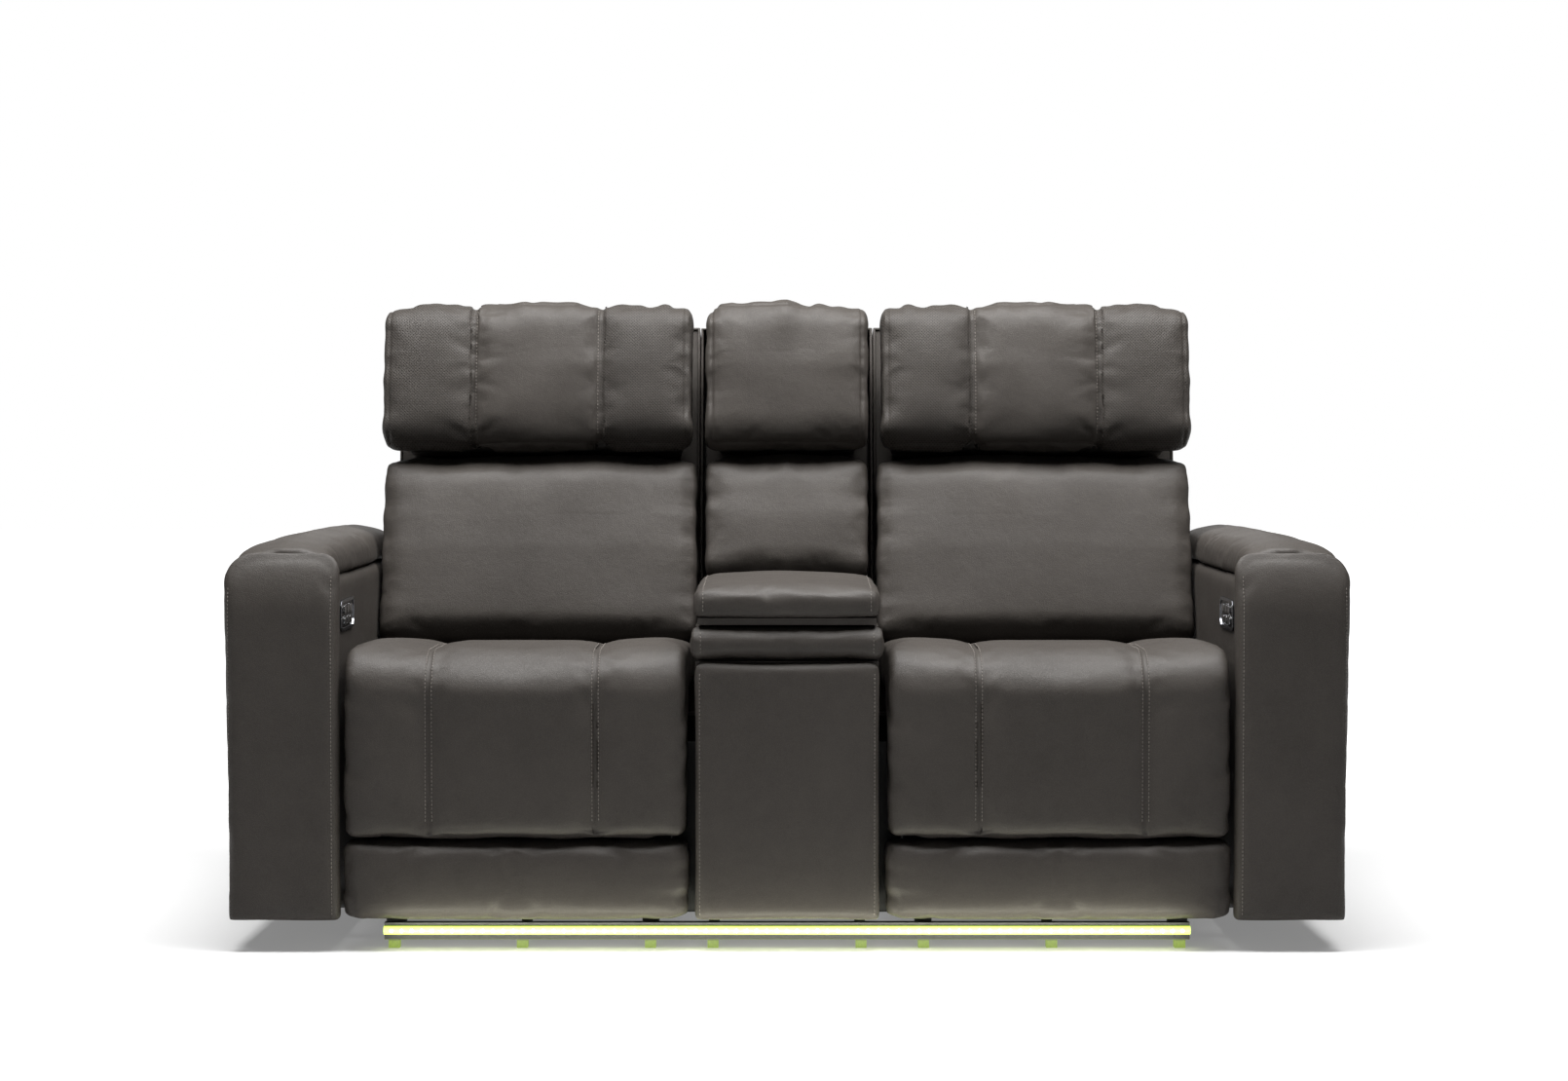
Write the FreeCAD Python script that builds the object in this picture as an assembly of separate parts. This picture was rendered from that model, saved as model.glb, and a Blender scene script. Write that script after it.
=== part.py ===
import FreeCAD, Part
import math
import os

# Two-seat power recliner with a centre storage console.
# Lengths are in millimetres, angles in degrees.
# X runs to the right as seen from the front, Y runs from the arm fronts to the rear, Z is up.
# The solids are made with Y = 0 at the arm fronts and moved at the end,
# so that the origin lies under the middle of the whole piece.

V = FreeCAD.Vector

# Clearances
rest_gap = 0.3
run_gap = 0.1
side_gap = 4.0

# Widths, each measured from the middle of the piece
arm_outer_x = 920.0
arm_foot_x = 913.0
band_inner_x = 730.0
arm_wall_x = 742.0
console_half = 153.0
seat_inner_x = console_half + 2 * side_gap + 1.0
seat_outer_x = band_inner_x - side_gap
back_inner_x = seat_inner_x + 2.0
back_outer_x = arm_wall_x - side_gap - 1.0
headrest_inner_x = 174.0
seat_mid_x = (seat_inner_x + seat_outer_x) / 2

# Heights of the base
tube_size = 30.0
tube_bottom_z = 50.0
tube_top_z = tube_bottom_z + tube_size
skirt_z = 51.0
front_tube_y = 150.0
rear_tube_y = 760.0

# Seat carriage tracks
track_offset = 215.0
track_width = 26.0
track_wall = 3.0
track_height = 28.0
track_front_y = 140.0
track_rear_y = 800.0
runner_gap = 1.0
runner_length = 70.0
front_runner_y = 300.0
rear_runner_y = 500.0

# Seat hinges: the leg-rest turns about the middle of the front roll
roll_radius = 75.0
roll_y = roll_radius
roll_z = 425.0
back_hinge_y = 660.0
back_hinge_z = 300.0
pin_radius = 10.0
tube_radius = 15.0
plate = 6.0
nose_radius = 22.0

# Seat box
seat_bottom_z = 404.0
seat_rear_y = 600.0
seat_rear_z = 452.0
seat_mid_y = 340.0
seat_mid_z = 484.0
seat_rear_round = 20.0
rail_size = 30.0
rail_height = 40.0
rail_top_z = seat_bottom_z - rest_gap - 3.0
front_rail_y = 165.0
strap_width = 50.0
strap_offsets = (-160.0, -70.0, 70.0, 160.0)

# Soft forms: how far the ends draw in, over what length, and the depth of a sewn channel
end_inset = 14.0
end_length = 26.0
channel_inset = 6.0
channel_half = 8.0
end_drop = 1.2
crown = 4.0
saddle_dip = 6.0

# Leg-rest
swing_offset = 200.0
pad_gap = 3.0
pad_front_y = 1.0
pad_back_y = 78.0
upper_pad_bottom_z = 190.0
lower_pad_top_z = 185.0
pad_low_round = 14.0
carrier_thickness = 4.0
crank_height = 40.0
legrest_range = 80.0

# Actuators: a square push rod in a rectangular guide, with a gear block and a round motor
guide_half_width = 17.0
guide_half_height = 13.0
rod_half = 7.0
rod_gap = 0.2
gear_half_width = 30.0
gear_length = 60.0
can_radius = 12.0
can_length = 45.0
eye_pin_radius = 5.0
crank_gap = 1.0

# Back, in its own leaned frame: u rearward and w upward from the back hinge
back_lean = 10.0
back_front_u = 34.0
back_rear_u = 134.0
back_low_w = 36.0
back_panel_low_w = -120.0
back_high_w = 756.0
back_rim = 30.0
back_panel = 10.0
back_post_offset = 105.0
cushion_low_w = 150.0
cushion_top_u = -112.0
cushion_top_round = 36.0
cushion_low_round = 26.0
back_crank = 110.0
back_range = 35.0
back_motor_offset = 90.0

# Headrest, in the leaned frame of the back
headrest_u = -89.0
headrest_w = 561.0
headrest_round = 60.0
cushion_gap = 4.0
cushion_high_w = headrest_w - headrest_round - cushion_gap
headrest_top = 222.0
headrest_back = 40.0
headrest_crank = 150.0
headrest_range = 30.0

lean = math.radians(back_lean)
overall_depth = back_hinge_y + back_rear_u * math.cos(lean) + back_high_w * math.sin(lean)


# Small helpers

def box(x0, x1, y0, y1, z0, z1):
    return Part.makeBox(x1 - x0, y1 - y0, z1 - z0, V(x0, y0, z0))


def rod_x(x0, x1, y, z, radius):
    return Part.makeCylinder(radius, x1 - x0, V(x0, y, z), V(1, 0, 0))


def pin_x(x0, x1, y, z, radius, chords=10):
    """Pin, can or tube along X with its round in equal chords."""
    return plate_x(bend(y, z, radius, 0, 360 - 360 / chords, chords - 1), x0, x1)


def join(shapes):
    return shapes[0].multiFuse(shapes[1:]).removeSplitter()


def outline(points, place):
    """Closed wire. Each point is (a, b), or (a, b, via_a, via_b) for an arc that ends at (a, b)."""
    edges = []
    last = points[0]
    for point in points[1:] + points[:1]:
        start = place(last[0], last[1])
        end = place(point[0], point[1])
        if len(point) == 4:
            edges.append(Part.Arc(start, place(point[2], point[3]), end).toShape())
        elif start.distanceToPoint(end) > 1e-6:
            edges.append(Part.LineSegment(start, end).toShape())
        last = point
    return Part.Wire(edges)


def across_x(x):
    return lambda y, z: V(x, y, z)


def across_y(y):
    return lambda x, z: V(x, y, z)


def across_z(z):
    return lambda x, y: V(x, y, z)


def plate_x(points, x0, x1):
    """Flat plate standing across X."""
    return Part.Face(outline(points, across_x(x0))).extrude(V(x1 - x0, 0, 0))


def soft_form(stations, shape_at, across):
    """Closed soft form: a ruled loft through outlines drawn in by the inset of each station."""
    wires = [outline(shape_at(inset), across(place)) for place, inset in stations]
    return Part.makeLoft(wires, True, True)


def bend(a, b, radius, start, end, chords):
    """Points of a round stretch about (a, b) in equal chords, angles from +a towards +b."""
    points = []
    for step in range(chords + 1):
        angle = math.radians(start + (end - start) * step / chords)
        points.append((a + radius * math.cos(angle), b + radius * math.sin(angle)))
    return points


def pillow_stations(low, high, shoulder, middle, channels=()):
    """Stations from end to end: rounded-in ends, a shoulder inset, sewn channels and a middle inset."""
    stations = [(low, end_inset), (low + end_length / 3, end_inset / 2), (low + end_length, shoulder)]
    middle_x = (low + high) / 2
    for place in channels:
        if place > middle_x:
            stations.append((middle_x, middle))
        stations.append((place - channel_half, shoulder / 2))
        stations.append((place, channel_inset))
        stations.append((place + channel_half, shoulder / 2))
    if not channels:
        stations.append((middle_x, middle))
    stations += [(high - end_length, shoulder), (high - end_length / 3, end_inset / 2), (high, end_inset)]
    return stations


def leaned(shape):
    """Places a shape made in the frame of the back: Y is u and Z is w from the back hinge."""
    turned = shape.copy()
    turned.rotate(V(0, 0, 0), V(1, 0, 0), -back_lean)
    turned.translate(V(0, back_hinge_y, back_hinge_z))
    return turned


def save(name, shape):
    moved = shape.copy()
    moved.translate(V(0, -overall_depth / 2, 0))
    moved.exportStep("parts/" + name + ".step")


def save_pair(name, shape):
    """The right-hand piece and its mirror image on the left."""
    save("right_" + name, shape)
    save("left_" + name, shape.mirror(V(0, 0, 0), V(1, 0, 0)))


os.makedirs("parts", exist_ok=True)

# Base frame: two cross tubes and four seat tracks
track_places = (seat_mid_x - track_offset, seat_mid_x + track_offset)
arm_tube_end_x = 880.0


def track(x):
    outer = box(x - track_width / 2, x + track_width / 2, track_front_y, track_rear_y,
                tube_top_z, tube_top_z + track_height)
    inner = box(x - track_width / 2 + track_wall, x + track_width / 2 - track_wall,
                track_front_y, track_rear_y, tube_top_z + track_wall, tube_top_z + track_height)
    return outer.cut(inner)


base_parts = []
for tube_y in (front_tube_y, rear_tube_y):
    base_parts.append(box(-arm_tube_end_x, arm_tube_end_x, tube_y, tube_y + tube_size,
                          tube_bottom_z, tube_top_z))
for track_x in track_places:
    base_parts.append(track(track_x))
    base_parts.append(track(-track_x))
save("base_frame", join(base_parts))

# Square glides with a chamfered foot, under the crossings of tubes and tracks
glide_half = 14.0
glide_chamfer = 3.0


def glide(x, y):
    block = box(x - glide_half, x + glide_half, y - glide_half, y + glide_half, 0, tube_bottom_z)
    foot_edges = [edge for edge in block.Edges if edge.BoundBox.ZMax < glide_chamfer]
    return block.makeChamfer(glide_chamfer, foot_edges)


glides = []
for glide_x in track_places:
    for side in (-1, 1):
        for tube_y in (front_tube_y, rear_tube_y):
            glides.append(glide(side * glide_x, tube_y + tube_size / 2))
save("base_glides", Part.makeCompound(glides))

# Light carrier under the front edge, on small feet, and held by arms to the front tube
strip_half = 663.0
carrier_front_y = 44.0
carrier_back_y = 62.0
carrier_low_z = 14.0
carrier_high_z = 42.0
carrier_foot_half = 9.0
outer_foot_inset = 16.0
foot_step = 211.0
carrier_foot_places = (122.0, strip_half - outer_foot_inset - 2 * foot_step,
                       strip_half - outer_foot_inset - foot_step, strip_half - outer_foot_inset)
lip = 6.0
carrier_parts = [box(-strip_half, strip_half, carrier_front_y, carrier_back_y, carrier_low_z, carrier_high_z)]
for foot_x in carrier_foot_places:
    for side in (-1, 1):
        middle = side * foot_x
        carrier_parts.append(box(middle - carrier_foot_half, middle + carrier_foot_half,
                                 carrier_front_y, carrier_back_y, 0, carrier_low_z))
        carrier_parts.append(box(middle - carrier_foot_half, middle + carrier_foot_half,
                                 carrier_back_y, front_tube_y, carrier_low_z, carrier_low_z + lip))
        carrier_parts.append(box(middle - carrier_foot_half, middle + carrier_foot_half,
                                 front_tube_y - lip, front_tube_y, carrier_low_z, tube_top_z))
save("led_carrier", join(carrier_parts))

# Light strip: a flexible tube with a flat back on the face of the carrier
strip_radius = 7.0
strip_z = 30.0
strip_front_y = carrier_front_y - 2 * strip_radius + 3.0
strip_body = rod_x(-strip_half, strip_half, strip_front_y + strip_radius, strip_z, strip_radius)
strip_body = strip_body.common(box(-strip_half, strip_half, strip_front_y, carrier_front_y - rest_gap,
                                   strip_z - strip_radius, strip_z + strip_radius))
save("led_strip", strip_body)

# Arms
arm_rear_y = 880.0
arm_frame_front_y = 31.0
arm_frame_outer_x = 910.0
arm_frame_top_z = 611.0
band_top_z = 652.0
band_outer_round = 50.0
band_inner_round = 31.0
band_back_y = arm_frame_front_y - rest_gap
pad_top_z = 673.0
pad_outer_z = 634.0
pad_inner_z = 645.0
pad_outer_round = 26.0
pad_inner_round = 18.0

panel_y0 = 90.0
panel_y1 = 240.0
panel_z0 = 518.0
panel_z1 = 570.0
panel_proud = 5.0
pocket_depth = 30.0


def rounded_box_points(a0, a1, b0, b1, radius):
    """Four-cornered outline with rounded corners."""
    return (bend(a1 - radius, b0 + radius, radius, -90, 0, 4)
            + bend(a1 - radius, b1 - radius, radius, 0, 90, 4)
            + bend(a0 + radius, b1 - radius, radius, 90, 180, 4)
            + bend(a0 + radius, b0 + radius, radius, 180, 270, 4))


def cut_corner_points(a0, a1, b0, b1, cut):
    """Four-cornered outline with straight cut corners."""
    return [
        (a0 + cut, b0),
        (a1 - cut, b0),
        (a1, b0 + cut),
        (a1, b1 - cut),
        (a1 - cut, b1),
        (a0 + cut, b1),
        (a0, b1 - cut),
        (a0, b0 + cut),
    ]


arm_frame = box(arm_wall_x, arm_frame_outer_x, arm_frame_front_y, arm_rear_y, skirt_z, arm_frame_top_z)
for tube_y in (front_tube_y, rear_tube_y):
    arm_frame = arm_frame.cut(box(arm_wall_x, arm_tube_end_x + rest_gap, tube_y - rest_gap,
                                  tube_y + tube_size + rest_gap, skirt_z, tube_top_z))
panel_round = 14.0
pocket = plate_x(cut_corner_points(panel_y0 + lip, panel_y1 - lip, panel_z0 + lip, panel_z1 - lip,
                                   panel_round - lip),
                 arm_wall_x, arm_wall_x + pocket_depth)
save_pair("arm_frame", arm_frame.cut(pocket))


def band_outline(inset):
    low = skirt_z + inset / 3
    top = band_top_z - inset
    outer = arm_outer_x - inset
    inner = band_inner_x + inset
    return ([(inner, low), (arm_foot_x - inset, low)]
            + bend(outer - band_outer_round, top - band_outer_round, band_outer_round, 0, 90, 7)
            + bend(inner + band_inner_round, top - band_inner_round, band_inner_round, 90, 180, 5))


save_pair("arm_front_band", soft_form([(0, 12.0), (2.5, 5.0), (8.0, 1.0), (18.0, 0.0), (band_back_y, 0.0)],
                                      band_outline, across_y))


def arm_pad_outline(inset):
    low = arm_frame_top_z + rest_gap
    inner = arm_wall_x + 1.0 + inset / 3
    outer = arm_frame_outer_x + 3.0 - inset / 3
    crest = ((inner + outer) / 2 - 10.0, pad_top_z - inset)
    return ([(inner, low), (outer, low)]
            + bend(outer - pad_outer_round, pad_outer_z - inset, pad_outer_round, 0, 75, 4)
            + [crest]
            + bend(inner + pad_inner_round, pad_inner_z - inset, pad_inner_round, 105, 180, 3))


pad_stations = [(band_back_y + 2 * rest_gap, end_inset), (band_back_y + 2 * end_length, crown),
                (arm_rear_y / 2, 0.0), (arm_rear_y - 2 * end_length, crown), (arm_rear_y, end_inset)]
save_pair("arm_pad", soft_form(pad_stations, arm_pad_outline, across_y))

# Switch panel let into the inner face of the arm, with six keys
key_columns = 3
key_rows = 2
key_length = 24.0
key_height = 13.0
key_pitch_y = 32.0
key_pitch_z = 19.0
key_first_y = panel_y0 + 43.0
key_first_z = panel_z0 + 16.5
key_proud = 2.0
key_depth = 9.0
key_gap = 0.4
key_corner = 2.5
key_travel = 1.0
face_x = arm_wall_x - panel_proud

housing = plate_x(rounded_box_points(panel_y0, panel_y1, panel_z0, panel_z1, panel_round),
                  face_x, arm_wall_x - rest_gap)
room = lip + rest_gap
core = plate_x(cut_corner_points(panel_y0 + room, panel_y1 - room, panel_z0 + room, panel_z1 - room,
                                 panel_round - lip),
               arm_wall_x - rest_gap, arm_wall_x + pocket_depth - rest_gap)
housing = housing.fuse(core)
bezel = 5.0
recess = 1.5
housing = housing.cut(plate_x(cut_corner_points(panel_y0 + bezel, panel_y1 - bezel, panel_z0 + bezel,
                                                panel_z1 - bezel, panel_round - bezel),
                              face_x, face_x + recess))
light_radius = 3.5
housing = housing.fuse(pin_x(face_x + recess - 1.0, face_x + recess + 1.0, panel_y0 + 20.0,
                             key_first_z + key_pitch_z, light_radius))
key_names = (
    ("legrest_down", "back_upright", "headrest_back"),
    ("legrest_up", "back_recline", "headrest_forward"),
)
for row in range(key_rows):
    for column in range(key_columns):
        y = key_first_y + column * key_pitch_y
        z = key_first_z + row * key_pitch_z
        housing = housing.cut(box(face_x, face_x + recess + key_depth + key_travel + key_gap,
                                  y - key_length / 2 - key_gap, y + key_length / 2 + key_gap,
                                  z - key_height / 2 - key_gap, z + key_height / 2 + key_gap))
        key = plate_x(cut_corner_points(y - key_length / 2, y + key_length / 2,
                                        z - key_height / 2, z + key_height / 2, key_corner),
                      face_x + recess - key_proud, face_x + recess + key_depth)
        save_pair("key_" + key_names[row][column], key)
save_pair("switch_housing", housing.removeSplitter())

# Console: carcass with a storage box, upright and ledge
console_side_x = console_half - 3.0
console_board = 15.0
console_front_y = 21.0
bin_front_y = 55.0
bin_rear_y = 450.0
bin_floor_z = 300.0
console_top_z = 531.0
roll_back_y = 40.0
panel_top_z = 475.0
ledge_rear_y = 700.0
floor_z = tube_top_z + 12.0

console_parts = []
for side in (-1, 1):
    inner = side * (console_side_x - console_board)
    outer = side * console_side_x
    console_parts.append(box(min(inner, outer), max(inner, outer), bin_front_y, ledge_rear_y,
                             tube_top_z, console_top_z))
console_parts.append(box(-console_side_x, console_side_x, console_front_y, bin_front_y,
                         tube_top_z, panel_top_z))
console_parts.append(box(-console_side_x, console_side_x, roll_back_y, bin_front_y,
                         panel_top_z, console_top_z))
console_parts.append(box(-console_side_x, console_side_x, bin_front_y, ledge_rear_y, tube_top_z, floor_z))
console_parts.append(box(-console_side_x, console_side_x, bin_front_y, bin_rear_y + console_board,
                         bin_floor_z - console_board, bin_floor_z))
console_parts.append(box(-console_side_x, console_side_x, bin_rear_y, bin_rear_y + console_board,
                         tube_top_z, console_top_z))
console_parts.append(box(-console_side_x, console_side_x, bin_rear_y, ledge_rear_y,
                         console_top_z - console_board, console_top_z))
upright_low_w = -200.0
console_parts.append(leaned(box(-console_side_x, console_side_x, back_front_u, back_rear_u,
                                upright_low_w, back_high_w)))

# Block on the upright that carries the fixed centre headrest
block_half = 110.0
block_height = 170.0
console_parts.append(leaned(box(-block_half, block_half, headrest_u + headrest_back + rest_gap,
                                back_front_u + 1.0, headrest_w, headrest_w + block_height)))

# Lid hinge: two ears on the ledge carry the pin of the lid
lid_hinge_y = bin_rear_y + console_board + 19.0
lid_hinge_z = 541.0
lid_pin_radius = 4.0
lid_ear_places = (-100.0, 100.0)
lid_ear_half = 5.0
lid_ear_radius = 8.0
for ear_x in lid_ear_places:
    points = bend(lid_hinge_y, lid_hinge_z, lid_ear_radius, 0, 180, 5)
    points += [(lid_hinge_y - lid_ear_radius, console_top_z - lip),
               (lid_hinge_y + lid_ear_radius, console_top_z - lip)]
    console_parts.append(plate_x(points, ear_x - lid_ear_half, ear_x + lid_ear_half))
console_frame = join(console_parts)
for ear_x in lid_ear_places:
    console_frame = console_frame.cut(rod_x(ear_x - lid_ear_half, ear_x + lid_ear_half, lid_hinge_y,
                                            lid_hinge_z, lid_pin_radius + run_gap))
save("console_frame", console_frame)

# Power supply on the floor of the console, behind the storage box
supply_half = 80.0
supply_y0 = 500.0
supply_y1 = 620.0
supply_height = 45.0
save("power_supply", box(-supply_half, supply_half, supply_y0, supply_y1, floor_z + rest_gap,
                         floor_z + rest_gap + supply_height))

panel_corner = 18.0


def front_panel_outline(inset):
    low = skirt_z + inset / 2
    top = panel_top_z - inset
    side = console_half - inset
    return ([(-side, low), (side, low)]
            + bend(side - panel_corner, top - panel_corner, panel_corner, 0, 90, 4)
            + bend(-side + panel_corner, top - panel_corner, panel_corner, 90, 180, 4))


save("console_front_panel", soft_form([(pad_front_y, 9.0), (4.0, 3.0), (9.0, 0.0),
                                       (console_front_y - rest_gap, 0.0)], front_panel_outline, across_y))

upper_roll_half = console_half + side_gap
upper_roll_low_z = panel_top_z + 1.5
upper_roll_high_z = console_top_z + 2.0


def upper_roll_outline(inset):
    radius = (upper_roll_high_z - upper_roll_low_z) / 2 - inset
    middle = (upper_roll_low_z + upper_roll_high_z) / 2
    back = roll_back_y - rest_gap
    return [(back, middle - radius)] + bend(pad_front_y + inset + radius, middle, radius, 270, 90, 8) + [
        (back, middle + radius)]


roll_end = 12.0
save("console_upper_roll", soft_form([(-upper_roll_half, roll_end / 2), (-upper_roll_half + roll_end, 0.0),
                                      (upper_roll_half - roll_end, 0.0), (upper_roll_half, roll_end / 2)],
                                     upper_roll_outline, across_x))

# Lid: a board with the hinge pin, and its puffed pad
lid_board_z = 535.0
lid_board_top_z = 546.0
lid_half = 146.0
lid_front_y = 12.0
lid_pad_half = 151.0
lid_pad_top_z = 598.0
lid_top_round = 20.0
lid_low_round = 9.0
lid_rear_y = lid_hinge_y - lid_ear_radius - 2.0
lid_board = box(-lid_half, lid_half, lid_front_y, lid_rear_y, lid_board_z, lid_board_top_z)
lid_knuckle_half = 80.0
lid_board = join([
    lid_board,
    box(-lid_knuckle_half, lid_knuckle_half, lid_rear_y - 1.0, lid_hinge_y, lid_board_z + 1.0,
        lid_hinge_z + lid_pin_radius),
    rod_x(lid_ear_places[0] - lid_ear_half, lid_ear_places[1] + lid_ear_half, lid_hinge_y, lid_hinge_z,
          lid_pin_radius),
])
save("console_lid_board", lid_board)


def lid_pad_outline(inset):
    low = lid_board_top_z + rest_gap + inset / 4
    top = lid_pad_top_z - inset
    front = pad_front_y + inset
    rear = lid_hinge_y - 6.0 - inset
    return ([(rear - 8.0, low)]
            + bend(front + lid_low_round, low + lid_low_round, lid_low_round, 270, 180, 3)
            + bend(front + lid_top_round, top - lid_top_round, lid_top_round, 180, 90, 5)
            + [((front + rear) / 2, top + crown)]
            + bend(rear - lid_top_round, top - lid_top_round, lid_top_round, 90, 0, 5)
            + [(rear, low + 8.0)])


save("console_lid_pad", soft_form(pillow_stations(-lid_pad_half, lid_pad_half, crown, 0.0),
                                  lid_pad_outline, across_x))

# Soft pieces of the fixed centre back
centre_cushion_low_w = 262.0


def back_cushion_points(low, inset):
    back = back_front_u - rest_gap
    top = cushion_high_w - inset
    base = low + inset / 2
    front_low = -cushion_low_w + (low - cushion_low_w) * 0.11 + inset
    front_high = cushion_top_u + inset
    middle = ((front_low + front_high) / 2 - crown, (base + top) / 2)
    return ([(back, base)]
            + bend(front_low + cushion_low_round, base + cushion_low_round, cushion_low_round, 270, 180, 3)
            + [middle]
            + bend(front_high + cushion_top_round, top - cushion_top_round, cushion_top_round, 175, 90, 5)
            + [(back, top)])


def centre_cushion_outline(inset):
    return back_cushion_points(centre_cushion_low_w, inset)


def back_cushion_outline(inset):
    return back_cushion_points(cushion_low_w, inset)


def headrest_outline(inset):
    radius = headrest_round - inset
    heel = math.degrees(math.asin(headrest_back / radius)) - 90
    top_radius = (radius + headrest_back) / 2
    top = headrest_top - inset * (1 + end_drop)
    points = (bend(0, 0, radius, heel, -180, 7)
              + [(-radius - crown, top / 2 - 14.0)]
              + bend(headrest_back - top_radius, top - top_radius, top_radius, 180, 0, 9))
    return [(u + headrest_u, w + headrest_w) for u, w in points]


centre_half = console_side_x - 2.0
centre_stations = pillow_stations(-centre_half, centre_half, crown, 0.0)
save("console_back_cushion", leaned(soft_form(centre_stations, centre_cushion_outline, across_x)))
save("console_headrest", leaned(soft_form(centre_stations, headrest_outline, across_x)))

# Seat frame: side plates on runners, rails, straps and bars for the two motors
plate_places = (seat_mid_x - track_offset, seat_mid_x + track_offset)
runner_half = track_width / 2 - track_wall - runner_gap
runner_low_z = tube_top_z + track_wall + rest_gap
runner_high_z = tube_top_z + track_height + 4.0
window_low_z = 220.0
window_high_z = 330.0


def side_plate(x):
    points = bend(roll_y, roll_z, nose_radius, 233, 53, 6)
    points += [(front_rail_y, rail_top_z), (back_hinge_y - 40.0, rail_top_z)]
    points += bend(back_hinge_y, back_hinge_z, nose_radius, 37, -143, 6)
    points += [
        (rear_runner_y + runner_length / 2, runner_high_z - 2.0),
        (front_runner_y - runner_length / 2, runner_high_z - 2.0),
        (front_rail_y, rail_top_z - 90.0),
    ]
    solid = plate_x(points, x - plate / 2, x + plate / 2)
    for y, z in ((roll_y, roll_z), (back_hinge_y, back_hinge_z)):
        solid = solid.cut(rod_x(x - plate, x + plate, y, z, pin_radius + run_gap))
    for runner_y in (front_runner_y, rear_runner_y):
        solid = solid.cut(box(x - plate, x + plate, runner_y - runner_length / 2, runner_y + runner_length / 2,
                              window_low_z, window_high_z))
    return solid


# Heights of the rod lines of the two seat motors
legrest_rod_z = roll_z - crank_height
back_rod_z = back_hinge_z - back_crank + back_crank * (1 - math.cos(math.radians(back_range / 2))) / 2
motor_bar = 12.0
legrest_bar_y = 460.0
back_bar_y = 230.0

seat_parts = []
for plate_centre in plate_places:
    seat_parts.append(side_plate(plate_centre))
    for runner_y in (front_runner_y, rear_runner_y):
        seat_parts.append(box(plate_centre - runner_half, plate_centre + runner_half,
                              runner_y - runner_length / 2, runner_y + runner_length / 2,
                              runner_low_z, runner_high_z))
rail_x0, rail_x1 = plate_places
for rail_y in (front_rail_y, seat_rear_y - rail_size):
    rail = box(rail_x0, rail_x1, rail_y, rail_y + rail_size, rail_top_z - rail_height, rail_top_z)
    seat_parts.append(rail)
seat_parts.append(box(rail_x0, rail_x1, legrest_bar_y, legrest_bar_y + rail_size,
                      legrest_rod_z - guide_half_height - motor_bar, legrest_rod_z - guide_half_height))
seat_parts.append(box(rail_x0, rail_x1, back_bar_y, back_bar_y + rail_size,
                      back_rod_z - guide_half_height - motor_bar, back_rod_z - guide_half_height))
for offset in strap_offsets:
    seat_parts.append(box(seat_mid_x + offset - strap_width / 2, seat_mid_x + offset + strap_width / 2,
                          front_rail_y, seat_rear_y, rail_top_z - 1.0, rail_top_z + 2.0))
seat_frame = join(seat_parts)
rod_room = rod_half + 2.0
seat_frame = seat_frame.cut(box(seat_mid_x - rod_room, seat_mid_x + rod_room, front_rail_y,
                                front_rail_y + rail_size, legrest_rod_z - rod_room, legrest_rod_z + rod_room))
save_pair("seat_frame", seat_frame)


# Seat cushion: front roll about the leg-rest hinge, saddle top, and room for the swing arms
def seat_outline(inset):
    radius = roll_radius - inset
    heel_y = roll_y + 55.0
    return (bend(roll_y, roll_z, radius, 270, 90, 10)
            + [(seat_mid_y, seat_mid_z - inset)]
            + bend(seat_rear_y - inset - seat_rear_round, seat_rear_z - inset - seat_rear_round,
                   seat_rear_round, 90, 0, 3)
            + [(seat_rear_y - inset, seat_bottom_z), (heel_y, seat_bottom_z), (heel_y, roll_z - 53.0)])


seat_stations = pillow_stations(seat_inner_x, seat_outer_x, 0.0, saddle_dip)
seat_cushion = soft_form(seat_stations, seat_outline, across_x)
slot_half = 6.0
hub_radius = 24.0
hub_room = hub_radius + 4.0
for side in (-1, 1):
    swing_x = seat_mid_x + side * swing_offset
    slot = box(swing_x - slot_half, swing_x + slot_half, pad_front_y - lip, roll_y + 50.0,
               roll_z - roll_radius - lip, roll_z + 18.0)
    hub = box(swing_x - slot_half, swing_x + slot_half, roll_y - hub_room, roll_y + hub_room,
              roll_z, roll_z + hub_room)
    plate_centre = seat_mid_x + side * track_offset
    neck = box(plate_centre - slot_half, plate_centre + slot_half, roll_y - hub_room, roll_y + 95.0,
               roll_z - roll_radius - lip, roll_z + hub_room)
    seat_cushion = seat_cushion.cut(slot.fuse(hub)).cut(neck)
bore_reach = track_offset + slot_half
bore_half = tube_radius + 3.0
seat_cushion = seat_cushion.cut(box(seat_mid_x - bore_reach, seat_mid_x + bore_reach, roll_y - bore_half,
                                    roll_y + bore_half, roll_z - bore_half, roll_z + bore_half))
crank_room_half = 26.0
crank_room_radius = 66.0
crank_room_points = bend(roll_y, roll_z, crank_room_radius, 180, 270, 6)
crank_room_points += [
    (roll_y + crank_room_radius, roll_z - crank_room_radius),
    (roll_y + crank_room_radius, roll_z),
]
crank_room = plate_x(crank_room_points, seat_mid_x - crank_room_half, seat_mid_x + crank_room_half)
save_pair("seat_cushion", seat_cushion.cut(crank_room))


# Crank plates with a slot along their length, where the pin of a rod runs
def crank_pair(middle, axis_y, axis_z, angle, slot_from, slot_to, slot_width, tip):
    """Two plates that leave the axis at the angle given, measured from +Y towards +Z."""
    cheeks = []
    half = slot_width / 2 + 5.0
    for side in (-1, 1):
        x0 = middle + side * (rod_half + crank_gap)
        x1 = x0 + side * plate
        low, high = min(x0, x1), max(x0, x1)
        cheek = box(low, high, 0, tip, -half, half)
        slot = box(low, high, slot_from, slot_to, -slot_width / 2, slot_width / 2)
        cheek = cheek.cut(slot)
        cheek.rotate(V(0, 0, 0), V(1, 0, 0), angle)
        cheek.translate(V(0, axis_y, axis_z))
        cheeks.append(cheek)
    return cheeks


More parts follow.
